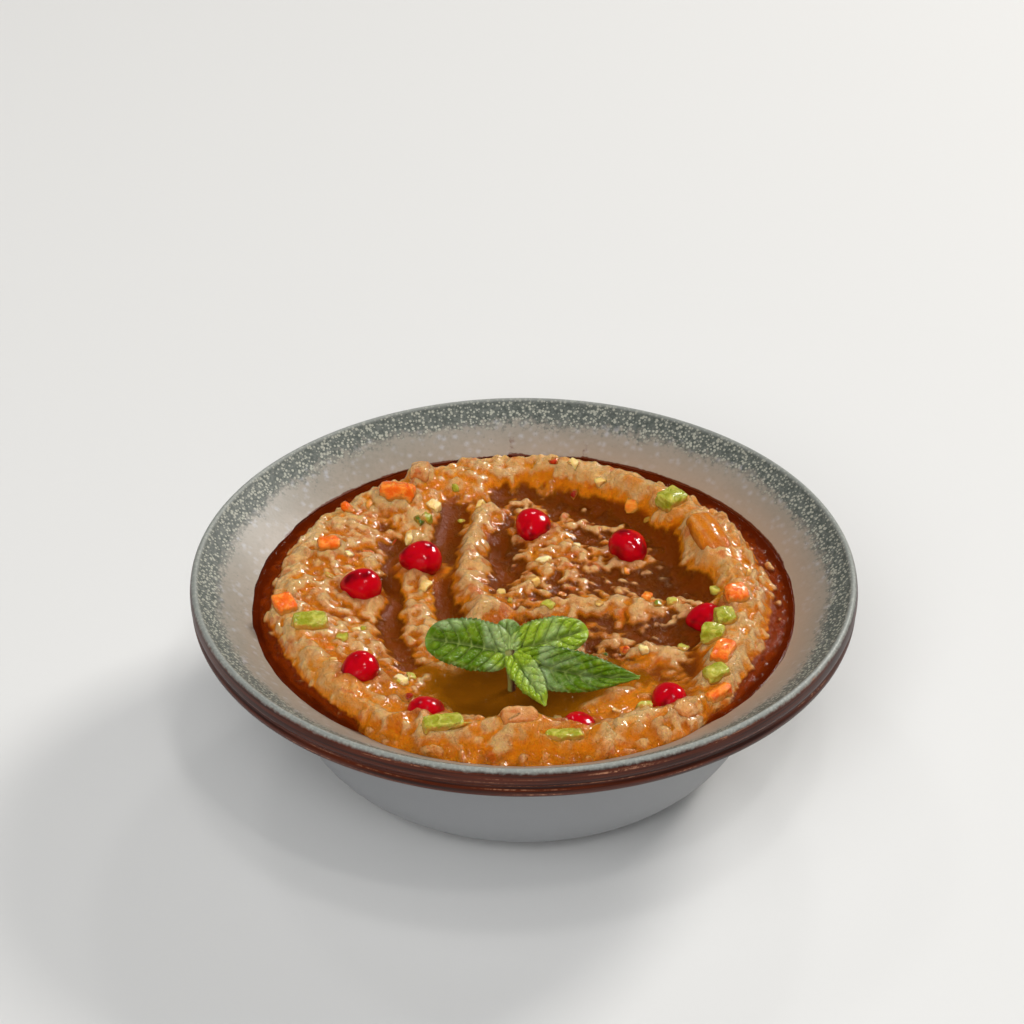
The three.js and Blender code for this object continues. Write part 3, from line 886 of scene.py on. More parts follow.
def dress(piece: bpy.types.Object, name: str, slot: str, material: bpy.types.Material, *nodes: str) -> None:
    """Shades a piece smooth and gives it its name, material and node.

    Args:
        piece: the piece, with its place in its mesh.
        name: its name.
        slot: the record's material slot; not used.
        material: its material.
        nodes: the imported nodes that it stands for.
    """
    only(piece)
    bpy.ops.object.shade_smooth()
    piece.name = name
    piece.data.name = name
    piece.data.materials.clear()
    piece.data.materials.append(material)
    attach(piece, BODY)
    if nodes:
        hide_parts(*nodes)
    LOG.info("%s: %d triangles", name, sum(len(face.vertices) - 2 for face in piece.data.polygons))


def spun(outline: list[tuple[float, float]], steps: int) -> bpy.types.Object:
    """Spins an outline of radius and height once round the Z axis.

    Args:
        outline: places that start and end on the axis, or close on themselves.
        steps: corners in each ring.

    Returns:
        A closed piece with its faces outwards.
    """
    deselect_all()
    bpy.ops.mesh.primitive_plane_add(size=MM)
    piece = bpy.context.object
    bpy.ops.object.mode_set(mode="EDIT")
    bpy.ops.mesh.select_mode(type="VERT")
    bpy.ops.mesh.select_all(action="SELECT")
    bpy.ops.mesh.merge(type="CENTER")
    here = (0.0, 0.0)
    for i, (radius, height) in enumerate(outline):
        step = ((radius - here[0]) * MM, 0.0, (height - here[1]) * MM)
        if i == 0:
            bpy.ops.transform.translate(value=step)
        else:
            bpy.ops.mesh.extrude_vertices_move(TRANSFORM_OT_translate={"value": step})
        here = (radius, height)
    bpy.ops.mesh.select_all(action="SELECT")
    bpy.ops.mesh.spin(steps=steps, angle=2 * math.pi, center=(0, 0, 0), axis=(0, 0, 1))
    bpy.ops.object.mode_set(mode="OBJECT")
    close_up(piece)
    return piece


def grid_piece(columns: int, rows: int) -> bpy.types.Object:
    """Adds a flat grid from -1 to 1 along X and Y.

    Args:
        columns: faces along X.
        rows: faces along Y.

    Returns:
        The grid.
    """
    deselect_all()
    bpy.ops.mesh.primitive_grid_add(x_subdivisions=columns, y_subdivisions=rows, size=2 * MM)
    return bpy.context.object


def merged_copy(node: str) -> bpy.types.Object:
    """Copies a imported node's mesh and joins its loose triangles.

    Args:
        node: the node's name.

    Returns:
        The copy, as a new object.
    """
    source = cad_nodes()[node]
    piece = bpy.data.objects.new(node, source.data.copy())
    bpy.context.scene.collection.objects.link(piece)
    only(piece)
    bpy.ops.object.mode_set(mode="EDIT")
    bpy.ops.mesh.select_all(action="SELECT")
    bpy.ops.mesh.remove_doubles(threshold=0.01 * MM)
    bpy.ops.object.mode_set(mode="OBJECT")
    return piece


_LOADED: dict = {}


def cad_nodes() -> dict[str, bpy.types.Object]:
    """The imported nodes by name."""
    return _LOADED["nodes"]


def box_of(node: str) -> tuple[Vector, Vector]:
    """Middle and half-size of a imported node's box, in millimetres."""
    low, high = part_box(node)
    return (low + high) / 2 / MM, (high - low) / 2 / MM


def level_of(node: str, share: Array | float) -> Array:
    """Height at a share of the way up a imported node's box, in millimetres."""
    low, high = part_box(node)
    return lerp(low.z, high.z, share) / MM


def from_middle(node: str, x: Array, y: Array, margin: Array | float) -> Array:
    """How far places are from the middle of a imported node, seen from above.

    Args:
        node: the node's name.
        x: first coordinate.
        y: second coordinate.
        margin: how much its box is widened all round.

    Returns:
        0 at the middle and 1 on the ellipse that fits the box.
    """
    middle, half = box_of(node)
    return np.hypot((x - middle.x) / (half.x + margin), (y - middle.y) / (half.y + margin))


# ---------------------------------------------------------------- bowl


@dataclass
class Bowl:
    """Stoneware bowl with a foot ring, a steep well, a straight flare and a rolled lip."""

    rim_radius: float = 80.0
    height: float = 50.0
    foot_radius: float = 38.0
    foot_width: float = 4.0
    foot_recess: float = 2.5
    floor: float = 7.0
    lip_depth: float = 7.7
    food_line: tuple[float, float] = (63.7, 39.2)
    steps: int = 240
    wobble: float = 0.22
    wall: list[tuple[float, float]] = field(init=False)

    def __post_init__(self) -> None:
        """Works out the inside wall once."""
        top = (self.rim_radius - 2.3, self.height - 0.8)
        flare = bezier([top, (70.8, 43.9), self.food_line], 16)
        well = bezier([self.food_line, (61.0, 33.0), (56.0, 9.5), (30.0, self.floor + 0.4)], 20)
        self.wall = [*flare, *well[1:], (15.0, self.floor + 0.1), (0.0, self.floor)]

    def lip(self) -> list[tuple[float, float]]:
        """Outside of the lip, with a fine groove between two rolls.

        Returns:
            Radius and height from its lower edge up to its top.
        """
        edge = self.height - self.lip_depth
        rolls = [(2.4, -0.1), (0.8, 0.4), (0.25, 1.8), (0.75, 3.1), (0.05, 4.4), (0.15, 6.2), (0.6, 7.3)]
        points = [(self.rim_radius - inward, edge + rise) for inward, rise in rolls]
        points += [(self.rim_radius - 1.4, self.height - 0.02), (self.rim_radius - 2.3, self.height - 0.8)]
        return [(float(r), float(z)) for r, z in spline_through(points, 40)[:-1]]

    def outline(self) -> list[tuple[float, float]]:
        """Whole outline.

        Returns:
            Radius and height from the middle of the foot's recess round to the middle of the floor.
        """
        inner_foot = self.foot_radius - self.foot_width
        foot = [(0.0, self.foot_recess), (20.0, self.foot_recess), (inner_foot - 1, self.foot_recess)]
        foot += [(inner_foot - 0.3, 0.7), (inner_foot + 0.3, 0.0), (self.foot_radius - 0.5, 0.0)]
        body = bezier([(self.foot_radius + 1.2, 1.6), (59.8, 4.2), (57.8, 24.0), (66.6, 40.6)], 24)
        under_lip = [(70.0, 41.6), (74.5, 42.0)]
        return [*foot, *body, *under_lip, *self.lip(), *self.wall]

    def wall_radius(self, height: Array) -> Array:
        """Radius of the inside wall at a height."""
        radii, heights = zip(*self.wall[::-1])
        return np.interp(height, heights, radii)

    def along(self, points: Array) -> Array:
        """Distance of points from the top of the rim, measured along the outline.

        Args:
            points: rows of X, Y and Z.

        Returns:
            Millimetres, below 0 on the inside.
        """
        outline = np.array(self.outline())
        gaps = np.hypot(*np.diff(outline, axis=0).T)
        run = np.concatenate([[0.0], np.cumsum(gaps)])
        run = run[np.argmax(outline[:, 1])] - run
        radius = np.hypot(points[:, 0], points[:, 1])
        away = np.hypot(radius[:, None] - outline[None, :, 0], points[:, 2, None] - outline[None, :, 1])
        return run[np.argmin(away, axis=1)]

    def smudge(self, points: Array, along: Array) -> Array:
        """How much sauce is on the wall: a line above the oil, thicker at the back right, and two smears.

        Args:
            points: rows of X, Y and Z.
            along: their distance from the top of the rim.

        Returns:
            The sauce's share at each point.
        """
        x, y, z = points.T
        bearing = bearing_of(x, y)
        total = np.zeros(len(points))
        for at, width, top in ((-3.0, 2.2, 44.6), (16.0, 1.8, 44.2)):
            total += bell(x, at, width) * (y > 0) * (1 - ease((z - top + 1.5) / 3))
        thick = 0.3 * bell(bearing, 48, 30) + 0.15 * bell(bearing, 128, 25)
        thick = thick + 0.12 * rough_noise(bearing / 5, np.zeros_like(x), 3, 4.0)
        front = bell(bearing, -90, 40)
        line = 1 - ease((z - self.food_line[1] - 1.0 - thick) / 0.2)
        return np.clip(0.45 * total + line * (1 - front), 0, 1) * (along < 0)

    @staticmethod
    def tinge(points: Array, along: Array) -> Array:
        """How much warm tint the wall gets: most low on the right.

        Args:
            points: rows of X, Y and Z.
            along: their distance from the top of the rim.

        Returns:
            The warmth's share at each point.
        """
        x, y, z = points.T
        right = 0.35 + 0.65 * ease(0.5 + x / 110)
        return right * (1 - ease((z - 39) / 9)) * (along < 0)

    def build(self) -> None:
        """Builds the bowl in place of its node."""
        piece = spun(self.outline(), self.steps)
        points = points_of(piece)
        along = self.along(points)
        set_attribute(piece, "along", along)
        set_attribute(piece, "smudge", self.smudge(points, along))
        set_attribute(piece, "tinge", self.tinge(points, along))
        bearing = np.arctan2(points[:, 1], points[:, 0])
        high = ease((points[:, 2] - 30) / 20)
        swell = 0.5 + 0.3 * np.sin(2 * bearing + 0.7) + 0.2 * np.sin(5 * bearing + 2.1)
        points[:, :2] *= (1 - self.wobble * swell * high / self.rim_radius)[:, None]
        set_points(piece, points)
        dress(piece, "glazed_bowl", "glaze", Glaze().material(), "bowl")


# ---------------------------------------------------------------- dip


@dataclass(frozen=True)
class Stroke:
    """A ridge (rise above 0), furrow (under 0) or mound left by the spoon, along a curve."""

    rise: float
    width: float
    path: tuple[tuple[float, float], ...]

    def push(self, x: Array, y: Array) -> Array:
        """How far the stroke lifts the surface.

        Args:
            x: first coordinate.
            y: second coordinate.

        Returns:
            Millimetres at each place.
        """
        line = spline_through(list(self.path), 12)
        nearest = np.full(x.shape, np.inf)
        for (x0, y0), (x1, y1) in zip(line[:-1], line[1:]):
            dx, dy = x1 - x0, y1 - y0
            share = np.clip(((x - x0) * dx + (y - y0) * dy) / (dx * dx + dy * dy), 0, 1)
            nearest = np.minimum(nearest, np.hypot(x0 + share * dx - x, y0 + share * dy - y))
        return self.rise * np.exp(-((nearest / self.width) ** 2))


@dataclass(frozen=True)
class Patch:
    """A round part of the dip with a look of its own."""

    at: tuple[float, float]
    reach: tuple[float, float]
    amount: float = 1.0
    turn: float = 0.0

    def share(self, x: Array, y: Array) -> Array:
        """How much each place belongs to the patch.

        Args:
            x: first coordinate.
            y: second coordinate.

        Returns:
            The share, from 0 to the patch's amount.
        """
        cos, sin = math.cos(math.radians(self.turn)), math.sin(math.radians(self.turn))
        dx, dy = x - self.at[0], y - self.at[1]
        across = (dx * cos + dy * sin) / self.reach[0]
        up = (dy * cos - dx * sin) / self.reach[1]
        return self.amount * np.exp(-(across**2 + up**2) ** 1.5)


TOPPINGS = ("pomegranate", "carrot", "celery", "pepper", "onion")

# How deep a topping sits in the pulp round it, as a share of its height.
SUNK = {"pepper": 0.85, "pomegranate": 0.45}

# The raised edge round the bowl: bearing, the crest's radius and height, and how far its inner slope runs.
CREST = (
    (-95, 56.5, 44.8, 11.0),
    (-68, 58.5, 44.0, 9.0),
    (-48, 60.0, 43.4, 8.0),
    (-22, 53.5, 45.6, 9.0),
    (8, 51.5, 46.2, 8.0),
    (45, 53.0, 46.4, 9.0),
    (85, 57.5, 45.4, 8.0),
    (125, 58.0, 43.8, 22.0),
    (170, 58.0, 43.4, 28.0),
    (205, 58.0, 44.2, 24.0),
    (235, 58.5, 44.2, 14.0),
)

STROKES = (
    Stroke(-3.0, 3.0, ((-27, -24), (-33, -3), (-31, 24))),
    Stroke(-3.0, 2.8, ((-17, -8), (-21.5, 14), (-19, 42))),
    Stroke(1.6, 3.4, ((-23, -12), (-27, 8), (-25, 34))),
    Stroke(3.6, 3.2, ((-13, -8), (-14.5, 14), (-10, 39))),
    Stroke(-1.6, 3.2, ((-8, 36), (-6, 25), (-3, 12))),
    Stroke(2.0, 6.0, ((2, 8), (6, 18), (10, 30))),
    Stroke(2.6, 4.2, ((-8, -4), (12, -3), (40, -4))),
    Stroke(3.4, 4.0, ((29, -22), (31, -22.5), (34, -23))),
    Stroke(1.6, 5.5, ((14, -40), (21, -38), (27, -35))),
    Stroke(-3.6, 9.0, ((-11, -34), (-3, -36), (6, -35))),
    Stroke(-1.5, 4.5, ((16, -28), (27, -30), (40, -17))),
    Stroke(-1.4, 7.0, ((24, 16), (32, 12), (38, 8))),
    Stroke(-2.4, 4.0, ((11, -55), (13, -56), (15, -57))),
)

# Smaller marks than the solid has.
FINE_STROKES = (
    Stroke(-0.9, 1.3, ((-24, -8), (-27.5, 10), (-26, 24))),
    Stroke(-1.2, 1.6, ((-9, 30), (-7.5, 20), (-5, 10))),
    Stroke(-1.3, 2.2, ((8, 42), (13, 41), (18, 36))),
    Stroke(-1.4, 2.2, ((26, 6), (33, 5), (40, 6))),
    Stroke(-1.2, 1.8, ((14, 31), (19, 29), (24, 30))),
    Stroke(0.8, 1.5, ((-50, -24), (-44, -34), (-34, -44))),
    Stroke(-0.8, 1.4, ((-47, -22), (-41, -31), (-31, -40))),
    Stroke(0.8, 1.4, ((14, 50), (26, 45), (36, 37))),
    Stroke(-0.7, 1.2, ((12, 46), (24, 41), (33, 34))),
    Stroke(-2.2, 9.0, ((-9, -34), (0, -35), (9, -36))),
    Stroke(-1.6, 2.2, ((-14.5, -6), (-17.0, 14), (-15.0, 38))),
    Stroke(1.2, 2.0, ((-9.5, -6), (-10.5, 14), (-7.0, 38))),
)


@dataclass(frozen=True)
class Pellets:
    """One family of lumps or shreds of pulp that are pressed on the dip.

    length and width are the ranges of their half-sizes, rise the range of their heights, square how blocky
    they are, and sink how deep they sit in what lies under them. Shreds follow the spoon's stroke.
    """

    count: int
    length: tuple[float, float]
    width: tuple[float, float]
    rise: tuple[float, float]
    square: float
    sink: float
    shreds: bool
    seed: int


PELLETS = (
    Pellets(900, (1.6, 3.0), (1.0, 2.0), (0.7, 1.4), 2.2, 0.30, False, 81),
    Pellets(4200, (0.8, 1.6), (0.6, 1.1), (0.6, 1.2), 2.2, 0.25, False, 82),
    Pellets(1200, (1.3, 3.0), (0.35, 0.6), (0.5, 0.9), 2.0, 0.20, True, 83),
    Pellets(3000, (0.4, 0.8), (0.35, 0.6), (0.4, 0.7), 2.0, 0.10, False, 84),
)


@dataclass
class Clay:
    """Pulp pressed up from pellets, as heights and tones on an even raster over the bowl."""

    half: float = 66.0
    pitch: float = 0.25
    warp: float = 0.8
    axis: Array = field(init=False)
    x: Array = field(init=False)
    y: Array = field(init=False)
    bent_x: Array = field(init=False)
    bent_y: Array = field(init=False)
    high: Array = field(init=False)
    tone: Array = field(init=False)

    def __post_init__(self) -> None:
        """Presses every family of pellets on, and softens them into each other."""
        side = int(round(2 * self.half / self.pitch)) + 1
        self.axis = np.linspace(-self.half, self.half, side)
        self.x, self.y = np.meshgrid(self.axis, self.axis)
        self.high, self.tone = np.zeros((side, side)), np.full((side, side), 0.4)
        self.bent_x = self.x + self.warp * rough_noise(self.x / 2.2, self.y / 2.2, 3, 3.0)
        self.bent_y = self.y + self.warp * rough_noise(self.x / 2.2, self.y / 2.2, 3, 8.0)
        for family in PELLETS:
            self.press(family)
        self.high = 0.6 * self.high + 0.4 * blurred(self.high, 1)
        self.tone = blurred(self.tone, 1)

    @staticmethod
    def flow(x: float, y: float) -> float:
        """Direction of the spoon's stroke.

        Args:
            x: first coordinate.
            y: second coordinate.

        Returns:
            Radians from +X.
        """
        if math.hypot(x, y) > 44 or x > 10:
            return math.atan2(y, x) + math.pi / 2
        return math.pi / 2

    def press(self, family: Pellets) -> None:
        """Presses one family of pellets on.

        Args:
            family: the family.
        """
        random = np.random.default_rng(family.seed)
        for _ in range(family.count):
            radius, bearing = self.half * math.sqrt(random.uniform()), random.uniform(0, 2 * math.pi)
            x, y = radius * math.cos(bearing), radius * math.sin(bearing)
            ranges = (family.length, family.width, family.rise)
            length, width, rise = (random.uniform(*limits) for limits in ranges)
            turn = self.flow(x, y) + random.normal() * 0.4 if family.shreds else random.uniform(0, math.pi)
            tone, tilt = random.uniform(0, 1), random.uniform(-0.18, 0.18, 2)
            reach = max(length, width) + 1.5 * self.warp
            rows, columns = (slice(*np.searchsorted(self.axis, (at - reach, at + reach))) for at in (y, x))
            dx, dy = self.bent_x[rows, columns] - x, self.bent_y[rows, columns] - y
            if dx.size == 0:
                continue
            along = np.abs(dx * math.cos(turn) + dy * math.sin(turn)) / length
            across = np.abs(dy * math.cos(turn) - dx * math.sin(turn)) / width
            inside = np.clip(1 - along**family.square - across**family.square, 0, 1)
            under = self.high[rows, columns]
            base = float(under[under.shape[0] // 2, under.shape[1] // 2]) * 0.6 - family.sink
            cap = base + rise * inside**0.55 + dx * tilt[0] + dy * tilt[1]
            held = (inside > 0) & (cap > under)
            under[held] = cap[held]
            self.tone[rows, columns][held] = tone

    def at(self, raster: Array, x: Array, y: Array) -> Array:
        """Looks a raster up at any places.

        Args:
            raster: the raster.
            x: first coordinate.
            y: second coordinate.

        Returns:
            Its value at each place.
        """
        last = len(self.axis) - 1.001
        column = np.clip((x + self.half) / self.pitch, 0, last)
        row = np.clip((y + self.half) / self.pitch, 0, last)
        i, j = column.astype(int), row.astype(int)
        u, v = column - i, row - j
        near = lerp(raster[j, i], raster[j, i + 1], u)
        far = lerp(raster[j + 1, i], raster[j + 1, i + 1], u)
        return lerp(near, far, v)


@dataclass
class Dip:
    """The aubergine dip: a swirled surface over one body that fills the bowl's well."""

    bowl: Bowl
    skirt: float = 38.0
    front_rise: float = 3.2
    front_bearing: float = -88.0
    front_half: float = 27.0
    front_fade: float = 18.0
    wall_air: float = 0.7
    oil_line: float = 40.0
    hollow_floor: float = 38.8
    lump_size: float = 7.0
    lump_rise: float = 0.9
    faces: int = 306
    bite: float = 0.2
    dice_cap: float = 0.5
    onion_cap: float = 0.72
    clay: Clay = field(default_factory=Clay)

    def __post_init__(self) -> None:
        """Works out the finished surface on the clay's raster, how wet and stained it is, and its painted
        light and shade.
        """
        clay = self.clay
        x, y = clay.x, clay.y
        shape = self.height(x, y) + sum(stroke.push(x, y) for stroke in FINE_STROKES)
        raised, self.rosy = self.round_toppings(x, y, shape)
        smooth = self.smoothness(x, y)
        self.u, self.v = self.laid_out(x, y, shape)
        high, self.tone = clay.at(clay.high, self.u, self.v), clay.at(clay.tone, self.u, self.v)
        self.bent_u, self.bent_v = clay.at(clay.bent_x, self.u, self.v), clay.at(clay.bent_y, self.u, self.v)
        folds = 2.2 * np.abs(rough_noise(self.bent_u / 5.5, self.bent_v / 5.5, 2, 91.0)) - 0.8
        cobbles, self.shade = self.cobbles()
        crumbly = high - float(high.mean()) + 0.5 * folds + 0.9 * cobbles
        heaps, self.heap_shade = self.heaps(x, y)
        rough = shape + raised + crumbly * (1 - 0.85 * smooth) + self.chunks(x, y) + heaps
        self.heaped = np.clip(heaps / 1.4, 0, 1)
        sunken = np.clip((blurred(shape, 24) - shape) / 2, -0.6, 1) * (1 - 1.3 * self.fronted(x, y))
        patchy = 0.35 * rough_noise(x / 5.0, y / 5.0, 2, 61.0)
        film = blurred(rough, 7) - 0.6 + patchy + 0.3 * sunken
        self.top = soft_max(rough, film + 0.4 * smooth, 0.25)
        self.top = self.bare_toppings(x, y, 0.2 * self.top + 0.8 * blurred(self.top, 1))
        self.wet = ease((film - rough + 0.65) / 1.3) * (1 - 0.15 * self.crested(x, y))
        self.wet *= 1 - 0.6 * self.fronted(x, y)
        # Painted light: lumps that stand above their neighbours get paler tops and more golden flanks.
        stands = 0.8 * (self.top - blurred(self.top, 4)) + 0.4 * (self.top - blurred(self.top, 14))
        self.painted_top_light = np.clip(0.5 + stands, 0, 1)
        # Painted shade: hollows and creases, by how far the surface lies under its blur, and the shadow
        # patches.
        shaded = sum(patch.share(x, y) for patch in SHADOW_PATCHES)
        wide = 0.5 * (blurred(self.top, 26) - self.top) * (1 - 0.85 * self.fronted(x, y))
        crease_shade = wide + 0.7 * (blurred(self.top, 4) - self.top)
        self.deep = np.clip(crease_shade + shaded * (0.8 + 0.5 * patchy - 0.5 * stands), 0, 1)
        self.stain = self.stained(x, y)

    @staticmethod
    def round_toppings(x: Array, y: Array, shape: Array) -> tuple[Array, Array]:
        """Pulp that each topping has pushed up round itself, and how far a seed's juice has run.

        Args:
            x: first coordinate.
            y: second coordinate.
            shape: the surface before the toppings were laid on.

        Returns:
            The rise and the juice's share at each place.
        """
        rise, rosy = np.zeros_like(x), np.zeros_like(x)
        uneven = 0.56 + 0.34 * soft_noise(x / 2.4, y / 2.4, 95.0)
        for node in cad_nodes():
            if node.startswith(TOPPINGS):
                slot = node.split("_")[0]
                sunk = 0.75 if node.startswith("onion_front") else SUNK.get(slot, uneven)
                share = from_middle(node, x, y, 0.2)
                push = np.clip(level_of(node, sunk) - shape, 0.6, 5.0 if slot == "pepper" else 2.4)
                rise = np.maximum(rise, push * wane(share, 0.95, 0.42))
                if slot == "pomegranate":
                    rosy = np.maximum(rosy, wane(share, 0.8, 0.35))
        return rise, rosy

    def bare_toppings(self, x: Array, y: Array, top: Array) -> Array:
        """The surface, let down where it would bury a diced vegetable.

        Args:
            x: first coordinate.
            y: second coordinate.
            top: the surface with its lumps and its oil.

        Returns:
            The surface, at most half way up each carrot or celery dice and a little higher on the onion.
        """
        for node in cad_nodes():
            if node.startswith(("carrot", "celery", "onion")):
                cap = level_of(node, self.onion_cap if node.startswith("onion") else self.dice_cap)
                near = wane(from_middle(node, x, y, 0.0), 0.85, 0.35)
                top = top - near * np.clip(top - cap, 0, 3)
        return top

    def laid_out(self, x: Array, y: Array, shape: Array) -> tuple[Array, Array]:
        """Coordinates that run down along the outer slope, so that lumps keep their roundness there.

        Args:
            x: first coordinate.
            y: second coordinate.
            shape: the surface before the lumps.

        Returns:
            The two coordinates at each place.
        """
        radius = np.maximum(np.hypot(x, y), 1e-6)
        crest_radius, crest_height, _ = self.crest_at(bearing_of(x, y))
        drop = np.clip(crest_height - shape, 0, 14) * ease((radius - crest_radius) / 3 + 0.3)
        far = radius + 0.9 * drop
        far = np.where(far > 65, 130 - far, far)
        return x * far / radius, y * far / radius

    def fronted(self, x: Array, y: Array) -> Array:
        """How near a place is to the front, from 0 to 1."""
        from_front = away_from(bearing_of(x, y), self.front_bearing)
        return np.exp(-((from_front / 45) ** 4)) * ease((np.hypot(x, y) - 40) / 8)

    def cobbles(self) -> tuple[Array, Array]:
        """Small round lumps of pulp, packed close.

        Returns:
            Their height, and a shade for each that runs from 0 to 1.
        """
        total, shades = np.zeros_like(self.clay.x), []
        for size, seed in ((2.6, 73.0), (1.5, 74.0)):
            near, _, owner = cell_noise(self.bent_u / size, self.bent_v / size, seed)
            dome = np.clip(1 - (near / 0.75) ** 2, 0, 1) ** 0.7
            total += dome * size * 0.5 * (0.3 + 0.7 * owner)
            shades.append(owner)
        return total - float(total.mean()), 0.65 * shades[0] + 0.35 * shades[1]

    def heaps(self, x: Array, y: Array) -> tuple[Array, Array]:
        """Large soft lumps that stand on the crest at the front.

        Args:
            x: first coordinate.
            y: second coordinate.

        Returns:
            Their height, and a shade for each that runs from 0 to 1.
        """
        from_front = away_from(bearing_of(x, y), self.front_bearing)
        total, shade = np.zeros_like(x), np.full_like(x, 0.5)
        for size, seed in ((7.0, 75.0), (4.6, 76.0)):
            near, _, owner = cell_noise(self.bent_u / size, self.bent_v / size, seed)
            dome = np.clip(1 - (near / 0.55) ** 2, 0, 1) ** 0.8 * (owner > 0.4) * (0.9 + 0.18 * size)
            shade = np.where(dome > total, (owner * 7.3) % 1, shade)
            total = np.maximum(total, dome)
        down = self.down_slope(x, y)
        total *= bell(from_front, 0, 42) * ease((down + 0.35) / 0.3) * ease((0.8 - down) / 0.4)
        return total, shade

    def down_slope(self, x: Array, y: Array) -> Array:
        """How far down the outer slope each place is.

        Args:
            x: first coordinate.
            y: second coordinate.

        Returns:
            The share, from 0 at the crest to 1 at the wall.
        """
        radius, bearing = np.hypot(x, y), bearing_of(x, y)
        crest_radius, _, _ = self.crest_at(bearing)
        edge = self.bowl.wall_radius(self.skirt_height(bearing))
        return (radius - crest_radius) / (edge - crest_radius)

    def chunks(self, x: Array, y: Array) -> Array:
        """Clumps of pulp that have slid down the outer slope and break through the oil there.

        Args:
            x: first coordinate.
            y: second coordinate.

        Returns:
            Their height.
        """
        bearing, down = bearing_of(x, y), self.down_slope(x, y)
        right, left = bell(away_from(bearing, -10), 0, 50), bell(away_from(bearing, 180), 0, 55)
        share = 0.08 + 0.8 * right + 0.7 * left
        total = np.zeros_like(x)
        for size, seed in ((5.2, 70.0), (3.4, 71.0), (2.0, 72.0)):
            near, _, owner = cell_noise(self.bent_u / size, self.bent_v / size, seed)
            lump = ease((0.4 + 0.4 * owner / share - near) / 0.6) * (owner < share)
            total = np.maximum(total, lump * (1.2 + 0.35 * size))
        return total * ease((down - 0.2) / 0.2) * ease((1.04 - down) / 0.14)

    def stained(self, x: Array, y: Array) -> Array:
        """How much brown oil the foot of the outer slope has soaked up: little at the front.

        Args:
            x: first coordinate.
            y: second coordinate.

        Returns:
            The share, from 0 to 1.
        """
        from_front = np.abs(away_from(bearing_of(x, y), self.front_bearing))
        low = 1 - ease((self.top - self.oil_line) / 1.8)
        return low * ease((self.down_slope(x, y) - 0.1) / 0.2) * (0.1 + 0.9 * ease((from_front - 25) / 25))

    def crest_at(self, bearing: Array) -> tuple[Array, Array, Array]:
        """The crest as CREST has it, smoothly between its places.

        Args:
            bearing: bearings in degrees.

        Returns:
            Its radius, its height and how far its inner slope runs, at each bearing.
        """
        start = CREST[0][0]
        turned = (bearing - start) % 360 + start
        places = [place[0] for place in CREST] + [start + 360]
        found = [np.zeros_like(turned) for _ in range(3)]
        for i, (low, high) in enumerate(zip(places[:-1], places[1:])):
            inside = (turned >= low) & (turned < high)
            share = ease((turned[inside] - low) / (high - low))
            after = CREST[(i + 1) % len(CREST)]
            for column in range(3):
                found[column][inside] = lerp(CREST[i][column + 1], after[column + 1], share)
        return found[0], found[1], found[2]

    def skirt_height(self, bearing: Array) -> Array:
        """Height of the dip's edge at the wall: higher at the front."""
        from_front = np.abs(away_from(bearing, self.front_bearing))
        return self.skirt + self.front_rise * (1 - ease((from_front - self.front_half) / self.front_fade))

    def height(self, x: Array, y: Array) -> Array:
        """Height of the dip's surface as its solid has it.

        Args:
            x: first coordinate.
            y: second coordinate.

        Returns:
            The height at each place.
        """
        radius, bearing = np.hypot(x, y), bearing_of(x, y)
        crest_radius, crest_height, slope = self.crest_at(bearing)
        crest_radius = crest_radius + 1.1 * soft_noise(bearing / 17, np.full_like(x, 3.5))
        skirt = self.skirt_height(bearing)
        edge = self.bowl.wall_radius(skirt) - self.wall_air
        down = ease((radius - crest_radius) / (edge - crest_radius) * 1.12 - 0.06)
        outer = lerp(crest_height, skirt, down) + 0.6 * soft_noise(x / 3.5, y / 3.5) * (1 - down)
        inward = (crest_radius - radius) / slope
        sunk = ease(inward) * (0.35 + 0.65 * np.clip(inward, 0, 1))
        inner = lerp(crest_height, self.hollow_floor, sunk)
        for stroke in STROKES:
            inner = inner + stroke.push(x, y)
        wide = soft_noise(x / self.lump_size, y / self.lump_size)
        narrow = soft_noise(2 * x / self.lump_size + 9, 2 * y / self.lump_size)
        inner = inner + self.lump_rise * (wide + 0.5 * narrow) * ease((crest_radius - radius + 6) / 12)
        return np.where(radius > crest_radius, outer, inner)

    def smoothness(self, x: Array, y: Array) -> Array:
        """How smooth and unbroken the flesh is, from 0 in chunky parts to 1."""
        total = sum(patch.share(x, y) for patch in SMOOTH_PATCHES)
        return np.clip(total, 0, 1)

    def gold(self, x: Array, y: Array) -> Array:
        """How golden the flesh is, from 0 to 1, made more golden along the crest's top as painted light."""
        total = sum(patch.share(x, y) for patch in GOLD_PATCHES) + 0.3 * self.crested(x, y)
        return np.clip(total + 0.32 + 0.9 * rough_noise(x / 4, y / 4, 3, 21.0), 0, 1)

    def pale(self, x: Array, y: Array) -> Array:
        """How pale the flesh is, from 0 to 1, made paler along the crest's top as a painted highlight."""
        total = sum(patch.share(x, y) for patch in PALE_PATCHES) + 0.25 * self.crested(x, y)
        return np.clip(total + 0.15 + 0.35 * rough_noise(x / 5, y / 5, 3, 31.0), 0, 1)

    def crested(self, x: Array, y: Array) -> Array:
        """How near a place is to the top of the crest, from 0 to 1."""
        crest_radius, _, _ = self.crest_at(bearing_of(x, y))
        return bell(np.hypot(x, y), crest_radius, 4.5)

    def surface(self, x: Array, y: Array) -> Array:
        """Height of the finished surface."""
        return self.clay.at(self.top, x, y)

